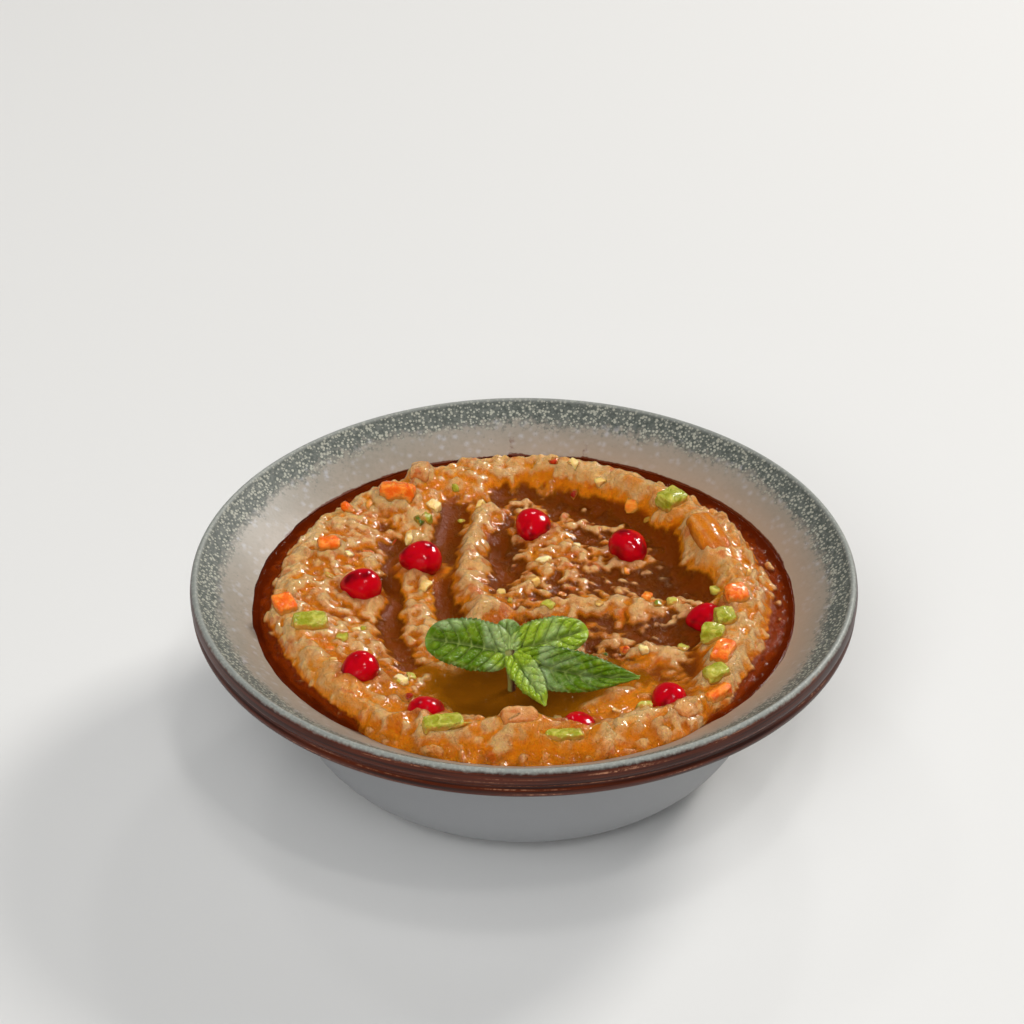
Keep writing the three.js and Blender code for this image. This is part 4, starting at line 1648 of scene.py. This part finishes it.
    def build(self) -> None:
        """Builds the dip in place of its node."""
        piece = grid_piece(self.faces, self.faces)
        flat = points_of(piece)
        u, v = flat[:, 0], flat[:, 1]
        wide = np.abs(u) > np.abs(v)
        safe_u = np.where(np.abs(u) < 1e-9, 1e-9, u)
        safe_v = np.where(np.abs(v) < 1e-9, 1e-9, v)
        reach = np.where(wide, u, v)
        angle = np.where(wide, v / safe_u * math.pi / 4, math.pi / 2 - u / safe_v * math.pi / 4)
        x, y = reach * np.cos(angle), reach * np.sin(angle)
        skirt = self.skirt_height(bearing_of(x, y))
        edge = self.bowl.wall_radius(skirt) + self.bite
        x, y = x * edge, y * edge
        z = self.surface(x, y)
        z = np.where(np.abs(reach) > 0.999, skirt, z)
        set_points(piece, np.stack([x, y, z], axis=1))
        tone = 0.4 * self.clay.at(self.tone, x, y) + 0.6 * self.clay.at(self.shade, x, y)
        heaped = self.clay.at(self.heaped, x, y)
        # Painted light: proud makes the tops of lumps paler and their flanks more golden, less at the front.
        painted_top_light = (self.clay.at(self.painted_top_light, x, y) - 0.5) * (1 - 0.5 * self.fronted(x, y))
        own = heaped * (self.clay.at(self.heap_shade, x, y) - 0.4)
        gold = self.gold(x, y) - 0.6 * (tone - 0.5) - 0.8 * painted_top_light - 1.2 * own
        set_attribute(piece, "gold", np.clip(gold, 0, 1))
        pale = self.pale(x, y) + 0.5 * (tone - 0.45) + 1.4 * painted_top_light + 1.5 * own
        set_attribute(piece, "pale", np.clip(pale, 0, 1))
        for name in ("wet", "deep", "stain", "rosy"):
            set_attribute(piece, name, self.clay.at(getattr(self, name), x, y))
        self.close_under(piece)
        dress(piece, "dip_surface", "dip", Pulp("dip_pulp").material(), "dip")

    def close_under(self, piece: bpy.types.Object) -> None:
        """Extrudes the dip's edge down along the well and closes it underneath.

        Args:
            piece: the dip's surface.
        """
        only(piece)
        bpy.ops.object.mode_set(mode="EDIT")
        bpy.ops.mesh.select_mode(type="EDGE")
        bpy.ops.mesh.select_all(action="DESELECT")
        bpy.ops.mesh.select_non_manifold(extend=False, use_boundary=True)
        here = self.bowl.food_line[1] - 3
        radius = float(self.bowl.wall_radius(here))
        for height in (30.0, 19.0, 12.0, 8.5):
            after = float(self.bowl.wall_radius(height)) - self.wall_air
            scale = after / radius
            bpy.ops.mesh.extrude_region_move(TRANSFORM_OT_translate={"value": (0, 0, (height - here) * MM)})
            bpy.ops.transform.resize(value=(scale, scale, 1), center_override=(0, 0, 0))
            here, radius = height, after
        bpy.ops.mesh.edge_face_add()
        bpy.ops.mesh.select_all(action="SELECT")
        bpy.ops.mesh.normals_make_consistent(inside=False)
        bpy.ops.object.mode_set(mode="OBJECT")


SMOOTH_PATCHES = (
    Patch((30, 42), (16, 4.5), 0.8, -38),
    Patch((46, 16), (6, 14), 0.85, 10),
    Patch((-48, -34), (6, 17), 0.45, 42),
    Patch((22, -38), (12, 6), 0.8, 10),
    Patch((-2, -34), (16, 9), 0.8),
    Patch((-20, 14), (2.6, 26), 0.7, -3),
    Patch((30, -57), (8, 4), 0.7, 25),
    Patch((4, -58), (20, 5), 0.3),
)
GOLD_PATCHES = (
    Patch((46, 17), (7, 16), 0.9, 8),
    Patch((33, 38), (15, 4), 0.6, -38),
    Patch((32, 27), (9, 10), 0.7),
    Patch((0, 51), (22, 6), 0.35),
    Patch((48, -12), (7, 22), 0.25),
    Patch((-38, 4), (9, 22), 0.2),
    Patch((-42, -40), (5, 17), 0.8, 42),
    Patch((-20.5, 14), (3.4, 28), 0.9, -3),
    Patch((-31, 0), (3.2, 22), 0.5, 3),
    Patch((12, -2), (32, 5), 0.35),
    Patch((0, -34), (26, 13), 0.6),
    Patch((-14, 46), (12, 6), 0.7, 20),
    Patch((20, -38), (12, 7), 0.5),
    Patch((6, -60), (10, 4), 0.7),
    Patch((-6, -57), (26, 6), 0.4),
)
# Hollows and the ground under the crest and ridges, darkened as painted shade where their shadows fall.
SHADOW_PATCHES = (
    Patch((12, 41), (16, 4.5), 0.7, -12),
    Patch((-3, 27), (3.5, 12), 0.55, 8),
    Patch((13, 30), (9, 7), 0.6, 10),
    Patch((34, 8), (11, 6), 0.8, -15),
    Patch((36, -8), (8, 7), 0.7),
    Patch((24, -20), (16, 6), 0.5, 20),
    Patch((4, -22), (30, 6), 0.3),
    Patch((14, 4), (24, 22), 0.6),
    Patch((-17, 14), (2.6, 26), 0.2, -3),
    Patch((-7, 19), (4, 20), 0.3),
)
PALE_PATCHES = (
    Patch((-42, 0), (11, 24), 0.45),
    Patch((-34, 34), (12, 9), 0.45, -30),
    Patch((-17, -12), (7, 8), 0.4),
    Patch((48, -20), (8, 20), 1.0, 14),
    Patch((34, 40), (14, 3), 0.4, -38),
    Patch((20, -57), (16, 5), 0.3, 15),
    Patch((-4, -57), (24, 5), 0.4, 0),
    Patch((46, 16), (5, 14), 0.35, 10),
    Patch((-44, -38), (5, 16), 0.4, 42),
)


# ---------------------------------------------------------------- toppings from their nodes


@dataclass
class Arils:
    """Nine pomegranate seeds."""

    count: int = 9

    def build(self) -> None:
        """Builds each seed over its own node, with its facets rounded."""
        material = Aril().material()
        for number in range(1, self.count + 1):
            node = f"pomegranate_seed_{number}"
            piece = merged_copy(node)
            apply_modifier(piece, "SUBSURF", {"levels": 2, "render_levels": 2})
            dress(piece, f"aril_{number}", "pomegranate", material, node)


@dataclass
class Dice:
    """Diced vegetables large enough to be nodes."""

    bevel: float = 0.6
    onion_bevel: float = 1.9
    knock: float = 0.2
    dip: Dip = field(kw_only=True)

    def build(self) -> None:
        """Builds each dice over its own node, with rounded edges and an uneven cut."""
        materials = {
            "carrot": Vegetable(Flesh.CARROT).material(),
            "celery": Vegetable(Flesh.CELERY).material(),
            "pepper": Pulp("soft_pepper").material(),
            "onion": Pulp("soft_onion").material(),
        }
        for node in sorted(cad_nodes()):
            slot = node.split("_")[0]
            if slot not in materials:
                continue
            piece = merged_copy(node)
            if slot == "pepper":
                apply_modifier(piece, "SUBSURF", {"levels": 4, "render_levels": 4})
                grown = 1.16
            else:
                width = (self.onion_bevel if slot == "onion" else self.bevel) * MM
                rounding = {"width": width, "segments": 4, "limit_method": "ANGLE", "angle_limit": 0.6}
                apply_modifier(piece, "BEVEL", rounding)
                simple = {"levels": 2, "render_levels": 2, "subdivision_type": "SIMPLE"}
                apply_modifier(piece, "SUBSURF", simple)
                grown = 1.05
            points = points_of(piece)
            normals = np.zeros(len(points) * 3)
            piece.data.vertices.foreach_get("normal", normals)
            x, y, z = points.T
            knock = soft_noise(x / 1.7 + z, y / 1.7 - z, 41.0)
            knock += 0.5 * soft_noise(x / 0.8 - z, y / 0.8 + z, 42.0)
            middle = points.mean(axis=0)
            knock *= 0.2 if slot == "pepper" else 1.0
            points += normals.reshape(-1, 3) * (self.knock * knock)[:, None]
            points = middle + (points - middle) * grown
            set_points(piece, points)
            out = points[:, 2] - self.dip.surface(points[:, 0], points[:, 1])
            set_attribute(piece, "wet", 0.8 - 0.6 * ease(out / 2.2))
            set_attribute(piece, "pale", np.full(len(points), 0.5))
            if slot in ("pepper", "onion"):
                folds = np.sin(2.2 * (points[:, 0] - middle[0]) + 0.9 * (points[:, 1] - middle[1]))
                pale, gold = (0.5, 0.85) if slot == "pepper" else (1.1, 0.0)
                set_attribute(piece, "pale", np.clip(pale + 0.35 * folds, 0, 1))
                set_attribute(piece, "gold", np.clip(gold - 0.25 * folds, 0, 1))
                for name in ("deep", "stain", "rosy"):
                    set_attribute(piece, name, np.zeros(len(points)))
            dress(piece, "dice_" + node, slot, materials[slot], node)


# ---------------------------------------------------------------- oil


@dataclass
class OilPool:
    """Oil standing in the hollow, in front of the mint."""

    dip: Dip
    level: float = 38.5
    middle: tuple[float, float] = (1.0, -33.5)
    longest: float = 30.0
    faces: int = 80

    def build(self) -> None:
        """Builds the pool as a thin sheet that runs into the hollow's bed all round."""
        piece = grid_piece(self.faces, self.faces)
        flat = points_of(piece)
        u, v = flat[:, 0], flat[:, 1]
        x = self.middle[0] + u * np.sqrt(1 - v * v / 2) * self.longest
        y = self.middle[1] + v * np.sqrt(1 - u * u / 2) * self.longest * 0.5
        bed = self.dip.surface(x, y)
        depth = np.clip((self.level - bed) / 2.5, 0, 1)
        meniscus = 0.12 * bell(bed, self.level, 0.5)
        set_points(piece, np.stack([x, y, self.level + meniscus], axis=1))
        set_attribute(piece, "depth", depth)
        apply_modifier(piece, "SOLIDIFY", {"thickness": 0.6 * MM, "offset": -1.0})
        oil = Oil("oil_in_hollow", colour("#B06A08"), colour("#744204"), 0.25, 0.8)
        dress(piece, "oil_pool_surface", "oil", oil.material(), "oil_pool")


@dataclass
class OilMoat:
    """Oil standing between the dip and the wall."""

    bowl: Bowl
    dip: Dip
    level: float = 40.1
    inside: float = 54.0
    steps: int = 360

    def build(self) -> None:
        """Builds the ring of oil, with a meniscus up the wall."""
        outer = float(self.bowl.wall_radius(self.level)) + 0.15
        climb = float(self.bowl.wall_radius(self.level + 0.45)) + 0.1
        under = self.level - 0.8
        outline = [(self.inside, under), (outer - 0.6, under), (climb, self.level + 0.4)]
        outline += [(outer - 0.5, self.level + 0.1), (outer - 1.4, self.level)]
        spread = np.linspace(outer - 2.4, self.inside, 8)
        outline += [(float(radius), self.level) for radius in spread]
        outline.append(outline[0])
        piece = spun(outline, self.steps)
        points = points_of(piece)
        x, y = points[:, 0], points[:, 1]
        bed = self.dip.surface(x, y)
        points[:, 2] += 0.12 * rough_noise(x / 4, y / 4, 2, 51.0)
        points[:, 2] -= 1.6 * ease((self.dip.skirt_height(bearing_of(x, y)) - self.dip.skirt) / 2.0)
        set_points(piece, points)
        shore = ease((np.hypot(x, y) - outer + 2.2) / 1.2)
        set_attribute(piece, "depth", np.clip((self.level - bed) / 1.6 + shore, 0, 1))
        oil = Oil("oil_round_edge", colour("#983804"), colour("#4C1400"), 0.45, 0.97)
        dress(piece, "oil_moat_surface", "oil", oil.material(), "oil_moat")


# ---------------------------------------------------------------- scattered bits


@dataclass(frozen=True)
class Shape:
    """A small mesh to copy many times: its corners, of about unit size, and its triangles."""

    corners: Array
    triangles: Array


def dice_shapes(count: int, seed: int) -> list[Shape]:
    """Small cut dice with softened edges and uneven sides.

    Args:
        count: number of different dice.
        seed: start of the random draw.

    Returns:
        The dice.
    """
    random = np.random.default_rng(seed)
    shapes = []
    for _ in range(count):
        deselect_all()
        bpy.ops.mesh.primitive_cube_add(size=1.7 * MM)
        dice = bpy.context.object
        bpy.ops.object.mode_set(mode="EDIT")
        bpy.ops.mesh.select_all(action="SELECT")
        bpy.ops.mesh.bevel(offset=0.42 * MM, segments=3, affect="EDGES")
        bpy.ops.mesh.quads_convert_to_tris()
        bpy.ops.object.mode_set(mode="OBJECT")
        corners = points_of(dice)
        skew = np.eye(3) + random.uniform(-0.22, 0.22, (3, 3))
        corners = corners @ skew + 0.06 * random.normal(size=corners.shape)
        triangles = np.array([tuple(face.vertices) for face in dice.data.polygons])
        bpy.data.objects.remove(dice)
        shapes.append(Shape(corners, triangles))
    return shapes


def turned(random: np.random.Generator, count: int, tilt: float) -> Array:
    """Random turns.

    Args:
        random: the draw.
        count: number of turns.
        tilt: the most that a turn tips, in degrees.

    Returns:
        One 3 by 3 matrix for each.
    """
    angles = np.stack(
        [
            np.radians(random.uniform(-tilt, tilt, count)),
            np.radians(random.uniform(-tilt, tilt, count)),
            random.uniform(0, 2 * math.pi, count),
        ],
        axis=1,
    )
    return np.array([np.array(Euler(tuple(row), "XYZ").to_matrix()) for row in angles])


def joined(
    name: str, shapes: list[Shape], at: Array, turns: Array, sizes: Array
) -> tuple[bpy.types.Object, Array]:
    """Copies shapes to many places in one mesh.

    Args:
        name: name of the new object.
        shapes: shapes to take in turn.
        at: places, in millimetres.
        turns: a 3 by 3 matrix for each place.
        sizes: half-sizes along X, Y and Z for each place, in millimetres.

    Returns:
        The object, and for each of its vertices the number of the place that it belongs to.
    """
    corners, triangles, owner = [], [], []
    first = 0
    for i, place in enumerate(at):
        shape = shapes[i % len(shapes)]
        corners.append((shape.corners * sizes[i]) @ turns[i].T + place)
        triangles.append(shape.triangles + first)
        owner.append(np.full(len(shape.corners), i))
        first += len(shape.corners)
    mesh = bpy.data.meshes.new(name)
    mesh.from_pydata((np.concatenate(corners) * MM).tolist(), [], np.concatenate(triangles).tolist())
    piece = bpy.data.objects.new(name, mesh)
    bpy.context.scene.collection.objects.link(piece)
    return piece, np.concatenate(owner)


@dataclass(frozen=True)
class Crumb:
    """One kind of small thing scattered over the dip."""

    name: str
    slot: str
    count: int
    sizes: tuple[float, float]
    flatness: float
    sink: float
    seed: int


BIT_KINDS = {
    "C": Flesh.CARROT,
    "O": Flesh.ONION,
    "L": Flesh.CELERY,
    "R": Flesh.RED_PEPPER,
    "H": Flesh.HERB,
}


@dataclass
class FusedBits:
    """The bits that the dip's solid has fused to it, found by the same seeded draw as there."""

    dip: Dip
    kinds: str = "COLCOOLOCORLHOLCOCOLOLLCOOLRCO"
    seed: int = 41
    reach: float = 59.0
    sizes: tuple[float, float] = (2.4, 3.6)
    spacing: float = 5.0
    aril_radius: float = 4.5

    def draws(self) -> Iterator[float]:
        """The draw.

        Yields:
            Repeatable random numbers from 0 to 1.
        """
        state = self.seed
        while True:
            state = (state * 1664525 + 1013904223) % 4294967296
            yield state / 4294967296

    def fits(self, x: float, y: float, size: float) -> bool:
        """Says whether a bit stays out of the oil and off the toppings and the mint's stem.

        Args:
            x: its first coordinate.
            y: its second coordinate.
            size: its length.

        Returns:
            True where it does.
        """
        radius = math.hypot(x, y)
        out = 1 + 1.5 * size / (radius + size)
        lowest = self.dip.height(np.array([x, x * out]), np.array([y, y * out])).min()
        taken = [(Sprig.foot[0], Sprig.foot[1], Sprig.stem_radius + 1)]
        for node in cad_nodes():
            if node.startswith(TOPPINGS):
                middle, half = box_of(node)
                reach = self.aril_radius if node.startswith("pomegranate") else max(half.x, half.y)
                taken.append((middle.x, middle.y, reach))
        clear = all(math.hypot(x - at_x, y - at_y) >= reach + size for at_x, at_y, reach in taken)
        return clear and lowest >= (OilMoat.level if radius > OilMoat.inside else OilPool.level) + 1

    def found(self) -> list[tuple[Flesh, list[float]]]:
        """Draws places until every bit has one.

        Returns:
            Each bit's kind, and its X, Y, length, width and height in tenths of a millimetre with its turn
            and tip in whole degrees.
        """
        draw = self.draws()
        bits: list[tuple[Flesh, list[float]]] = []
        while len(bits) < len(self.kinds):
            radius = self.reach * math.sqrt(next(draw))
            angle = 2 * math.pi * next(draw)
            x, y = radius * math.cos(angle), radius * math.sin(angle)
            size = lerp(*self.sizes, next(draw))
            apart = all(math.hypot(bit[0] - x, bit[1] - y) > self.spacing for _, bit in bits)
            if apart and self.fits(x, y, size):
                width = size * (0.6 + 0.4 * next(draw))
                turn, tip = 360 * next(draw), 30 * (next(draw) - 0.5)
                lengths = [round(length, 1) for length in (x, y, size, width, size * 0.8)]
                bits.append((BIT_KINDS[self.kinds[len(bits)]], [*lengths, round(turn), round(tip)]))
        return bits


@dataclass
class Scatter:
    """Small vegetable bits on the dip: those that its solid has fused to it, and a few more."""

    dip: Dip
    reach: float = 56.0
    bits: list[tuple[Flesh, list[float]]] = field(init=False)

    def __post_init__(self) -> None:
        """Finds the fused bits once."""
        self.bits = FusedBits(self.dip).found()

    def clear_of_toppings(self, x: Array, y: Array, size: Array) -> Array:
        """Finds the crumbs that stay off the seeds and the dice.

        Args:
            x: first coordinate.
            y: second coordinate.
            size: their lengths.

        Returns:
            True for each that does.
        """
        clear = np.ones(x.shape, bool)
        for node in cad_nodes():
            if node.startswith(TOPPINGS):
                clear &= from_middle(node, x, y, size) > 0.8
        return clear

    def places(self, crumb: Crumb, random: np.random.Generator) -> tuple[Array, Array]:
        """Where the crumbs of a kind lie and how large they are.

        Args:
            crumb: the kind.
            random: the draw.

        Returns:
            Places on the surface, and sizes.
        """
        tries = crumb.count * 4
        radius = self.reach * np.sqrt(random.uniform(0, 1, tries))
        angle = random.uniform(0, 2 * math.pi, tries)
        x, y = radius * np.cos(angle), radius * np.sin(angle)
        size = lerp(crumb.sizes[0], crumb.sizes[1], random.uniform(0, 1, tries) ** 2)
        chance = 1 - 0.85 * self.dip.smoothness(x, y)
        keep = self.clear_of_toppings(x, y, size) & (random.uniform(0, 1, tries) < chance)
        x, y, size = (values[keep][: crumb.count] for values in (x, y, size))
        z = self.dip.surface(x, y)
        return np.stack([x, y, z], axis=1), size

    def fused(self, kind: Flesh) -> tuple[Array, Array, Array]:
        """One kind's bits that the dip's solid has too.

        Args:
            kind: the kind.

        Returns:
            Their places, half-sizes and turns.
        """
        rows = np.array([bit for found, bit in self.bits if found is kind]).reshape(-1, 7)
        x, y = rows[:, 0], rows[:, 1]
        tips = [Euler((0, math.radians(tip), math.radians(turn))) for turn, tip in rows[:, 5:]]
        turns = np.array([np.array(tip.to_matrix()) for tip in tips]).reshape(-1, 3, 3)
        return np.stack([x, y, self.dip.surface(x, y) - 0.5], axis=1), rows[:, 2:5] * 0.55, turns

    def scattered(self, crumb: Crumb, shapes: list[Shape], kind: Flesh) -> None:
        """Builds one kind of bit as one piece.

        Args:
            crumb: its name, count and sizes.
            shapes: the shapes that it takes in turn.
            kind: what it is made of.
        """
        random = np.random.default_rng(crumb.seed)
        at, size = self.places(crumb, random)
        at[:, 2] += size * crumb.flatness * (0.5 - crumb.sink)
        stretch = random.uniform(0.6, 1.0, (len(at), 2))
        sizes = np.stack([size, size * stretch[:, 0], size * crumb.flatness * stretch[:, 1]], axis=1) / 2
        more, more_sizes, more_turns = self.fused(kind)
        turns = np.concatenate([turned(random, len(at), 35.0), more_turns])
        at, sizes = np.concatenate([at, more]), np.concatenate([sizes, more_sizes])
        piece, owner = joined(crumb.name, shapes, at, turns, sizes)
        points = points_of(piece)
        out = points[:, 2] - self.dip.surface(points[:, 0], points[:, 1])
        set_attribute(piece, "wet", 0.8 - 0.75 * ease(out / 1.4))
        set_attribute(piece, "pale", random.uniform(0, 1, len(at))[owner])
        dress(piece, crumb.name, crumb.slot, Vegetable(kind).material())

    def build(self) -> None:
        """Builds every kind."""
        dice = dice_shapes(12, 62)
        for name, slot, kind, count, seed in (
            ("carrot_bits", "carrot", Flesh.CARROT, 6, 73),
            ("celery_bits", "celery", Flesh.CELERY, 7, 74),
            ("onion_bits", "onion", Flesh.ONION, 8, 75),
            ("red_pepper_bits", "pepper", Flesh.RED_PEPPER, 4, 76),
            ("herb_bits", "celery", Flesh.HERB, 3, 77),
        ):
            self.scattered(Crumb(name, slot, count, (2.0, 4.2), 0.6, 0.55, seed), dice, kind)


# ---------------------------------------------------------------- mint


@dataclass(frozen=True)
class Leaf:
    """One leaf of the sprig.

    bearing and climb turn the midrib, roll turns the blade about it, bend drops the tip, sweep carries it to
    the blade's left, and point says how pointed the blade is.
    """

    bearing: float
    climb: float
    roll: float
    length: float
    width: float
    bend: float
    sweep: float
    point: float
    veins: int
    young: float


@dataclass
class Sprig:
    """Sprig of mint: five leaves on a stem that stands in the oil."""

    foot: tuple[float, float, float] = (-2.6, -35.2, 33.0)
    top: tuple[float, float, float] = (-3.3, -33.0, 48.4)
    stem_radius: float = 0.95
    thickness: float = 0.42
    leaf_drop: float = 0.6
    steps: int = 110
    lanes: int = 60
    leaves: tuple[Leaf, ...] = (
        Leaf(180, 14, -42, 19.5, 12.5, 2.2, 0.0, 0.34, 6, 0.3),
        Leaf(14, 12, 38, 19.0, 11.0, 1.8, 0.0, 0.45, 6, 0.8),
        Leaf(-24, -14, 42, 30.0, 11.0, -4.0, 7.5, 0.9, 8, 0.2),
        Leaf(-58, -16, 12, 16.0, 7.5, 1.0, 0.0, 0.7, 6, 0.8),
        Leaf(98, 44, 0, 8.0, 7.0, 0.3, 0.0, 0.45, 4, 0.35),
    )

    def leaf(self, form: Leaf) -> bpy.types.Object:
        """One leaf, along +X from the origin and then turned to its place.

        Args:
            form: the leaf's shape.

        Returns:
            The leaf as a closed piece.
        """
        piece = grid_piece(self.steps, self.lanes)
        flat = points_of(piece)
        share, across = np.clip((flat[:, 0] + 1) / 2, 0, 1), flat[:, 1]
        outline = 0.5 * np.maximum(0.07, np.abs(np.sin(math.pi * share**0.82)) ** form.point)
        teeth = (share * form.veins * 3.2) % 1.0
        bite = 1 - 0.07 * teeth * np.sin(math.pi * share) * ease((np.abs(across) - 0.55) / 0.45)
        half = outline * bite
        side = np.abs(across)
        vein_at = (share * 1.12 - 0.20 * side - 0.06 * side**2) * form.veins
        to_vein = np.abs(vein_at - np.round(vein_at)) / form.veins * form.length
        grown = ease((share - 0.03) / 0.08) * ease((0.97 - share) / 0.1)
        lateral = np.exp(-((to_vein / 0.26) ** 2)) * grown * (1 - 0.35 * side)
        midrib = np.exp(-((across * half * form.width / 0.35) ** 2))
        net_y = across * half * form.width / 1.3 + form.bearing
        near, after, _ = cell_noise(share * form.length / 1.5, net_y, 5.0)
        net = np.exp(-(((after - near) / 0.16) ** 2)) * grown
        pucker = np.sqrt(np.abs(np.sin(math.pi * vein_at))) * ease(side / 0.25)
        pucker = pucker * ease((1.02 - side) / 0.25) * grown
        fold = 0.3 * form.width * side * half
        wave = 0.4 * side**2 * np.sin(share * 19 + across * 2) * np.sin(math.pi * share)
        wave += 0.25 * side**3 * np.sin(share * 47 + across * 3) * np.sin(math.pi * share)
        x = form.length * share
        y = form.width * half * across + form.sweep * share**2
        z = fold + wave - form.bend * share**2
        z += 1.25 * pucker - 0.4 * net * pucker - 0.4 * midrib
        turn = Euler((math.radians(form.roll), 0, 0)).to_matrix()
        turn = Euler((0, math.radians(-form.climb), 0)).to_matrix() @ turn
        turn = Euler((0, 0, math.radians(form.bearing))).to_matrix() @ turn
        points = np.stack([x, y, z], axis=1) @ np.array(turn).T + np.array(self.top) - (0, 0, self.leaf_drop)
        set_points(piece, points)
        set_attribute(piece, "vein", np.clip(0.9 * midrib + 0.7 * lateral + 0.28 * net, 0, 1))
        # hollow: where the blade does not pucker up, painted as shade in the material.
        set_attribute(piece, "hollow", np.clip(1 - pucker, 0, 1) * grown)
        set_attribute(piece, "young", form.young + 0.6 * (1 - ease(share / 0.3)))
        apply_modifier(piece, "SOLIDIFY", {"thickness": self.thickness * MM, "offset": 0.0})
        return piece

    def stem(self) -> bpy.types.Object:
        """The stem, from its foot in the dip up to the leaves.

        Returns:
            The stem as a closed piece.
        """
        deselect_all()
        foot, top = Vector(self.foot), Vector(self.top)
        middle, axis = (foot + top) / 2 * MM, top - foot
        bpy.ops.mesh.primitive_cylinder_add(
            vertices=20, radius=self.stem_radius * MM, depth=(axis.length + 0.6) * MM, location=middle
        )
        piece = bpy.context.object
        piece.rotation_euler = axis.to_track_quat("Z", "Y").to_euler()
        bpy.ops.object.transform_apply(location=True, rotation=True, scale=True)
        bpy.ops.object.mode_set(mode="EDIT")
        bpy.ops.mesh.select_all(action="SELECT")
        bpy.ops.mesh.subdivide(number_cuts=3)
        bpy.ops.object.mode_set(mode="OBJECT")
        points = points_of(piece)
        up = (points[:, 2] - self.foot[2]) / (self.top[2] - self.foot[2])
        swell = 1 + 0.12 * np.sin(9 * up) + 0.25 * ease((up - 0.85) / 0.15)
        centre = np.array(self.foot) + up[:, None] * (np.array(self.top) - np.array(self.foot))
        points = centre + (points - centre) * np.minimum(swell, 1.25)[:, None]
        set_points(piece, points)
        return piece

    def build(self) -> None:
        """Builds the sprig in place of its node."""
        blades = [self.leaf(form) for form in self.leaves]
        deselect_all()
        for blade in blades:
            blade.select_set(True)
        bpy.context.view_layer.objects.active = blades[0]
        bpy.ops.object.join()
        dress(blades[0], "mint_leaves", "mint", MintLeaf().material(), "mint_sprig")
        stem = self.stem()
        dress(stem, "mint_stem", "mint", MintStem().material(), "mint_sprig")


# ---------------------------------------------------------------- studio


@dataclass(frozen=True)
class Lamp:
    """A square soft light that faces the dish; gleams says whether it shows in wet surfaces."""

    name: str
    at: tuple[float, float, float]
    size: float
    power: float
    tint: Colour = (1.0, 1.0, 1.0)
    gleams: bool = False


@dataclass
class Studio:
    """Pale floor, soft lights and the camera."""

    distance: float = 650.0
    elevation: float = 34.0
    target: tuple[float, float, float] = (0.0, 0.0, 50.0)
    sensor: float = 36.0
    lens: float = 95.36
    picture: int = 1024
    shift: tuple[float, float] = (-12.0, 53.0)
    floor: float = 8.0
    lamps: tuple[Lamp, ...] = (
        Lamp("key", (1.36, 1.2, 1.3), 0.6, 33.0, (1.0, 0.97, 0.93), True),
        Lamp("back", (-0.9, 1.5, 2.1), 0.3, 3.0, (1.0, 0.98, 0.96), True),
        Lamp("top", (0.3, -0.3, 2.4), 0.25, 4.0, (1.0, 0.98, 0.96), True),
        Lamp("spark", (0.5, 1.9, 1.5), 0.2, 4.0, (1.0, 0.98, 0.96), True),
        Lamp("front_spark", (0.5, -1.0, 2.2), 0.2, 4.5, (1.0, 0.98, 0.96), True),
        Lamp("overhead", (-0.2, -0.9, 2.4), 2.4, 18.5),
        Lamp("fill", (-0.5, -2.2, 1.9), 1.6, 52.0, (0.98, 0.99, 1.0)),
    )

    def build(self) -> None:
        """Builds the floor, the lights and the camera."""
        deselect_all()
        bpy.ops.mesh.primitive_plane_add(size=self.floor)
        floor = bpy.context.object
        floor.name = "studio_floor"
        floor.data.materials.append(Backdrop().material())
        for lamp in self.lamps:
            light = bpy.data.lights.new(lamp.name, "AREA")
            light.shape, light.size, light.energy, light.color = "SQUARE", lamp.size, lamp.power, lamp.tint
            holder = bpy.data.objects.new(lamp.name, light)
            holder.location = lamp.at
            holder.visible_glossy = lamp.gleams
            aim = Vector(self.target) * MM - Vector(lamp.at)
            holder.rotation_euler = aim.to_track_quat("-Z", "Y").to_euler()
            bpy.context.scene.collection.objects.link(holder)
        world = bpy.data.worlds.new("studio")
        world.use_nodes = True
        world.node_tree.nodes["Background"].inputs["Color"].default_value = (1.0, 0.97, 0.93, 1.0)
        world.node_tree.nodes["Background"].inputs["Strength"].default_value = 0.06
        bpy.context.scene.world = world
        bpy.context.scene.view_settings.view_transform = "Standard"
        self.camera()

    def camera(self) -> None:
        """Adds the camera in front of the dish."""
        lens = bpy.data.cameras.new("camera")
        lens.sensor_width, lens.lens = self.sensor, self.lens
        lens.shift_x, lens.shift_y = (share / self.picture for share in self.shift)
        lens.clip_start, lens.clip_end = 0.01, 20.0
        holder = bpy.data.objects.new("camera", lens)
        tilt = math.radians(self.elevation)
        back = Vector((0.0, -math.cos(tilt), math.sin(tilt))) * self.distance
        holder.location = (Vector(self.target) + back) * MM
        holder.rotation_euler = (math.pi / 2 - tilt, 0.0, 0.0)
        bpy.context.scene.collection.objects.link(holder)
        bpy.context.scene.camera = holder


def main() -> None:
    """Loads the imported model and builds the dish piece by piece."""
    logging.basicConfig(level=logging.INFO, format="%(name)s: %(message)s")
    _LOADED.update(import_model())
    bowl = Bowl()
    dip = Dip(bowl)
    Studio().build()
    bowl.build()
    dip.build()
    OilPool(dip).build()
    OilMoat(bowl, dip).build()
    Dice(dip=dip).build()
    Scatter(dip).build()
    Arils().build()
    Sprig().build()
    deselect_all()
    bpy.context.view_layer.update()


if __name__ == "__main__":
    main()
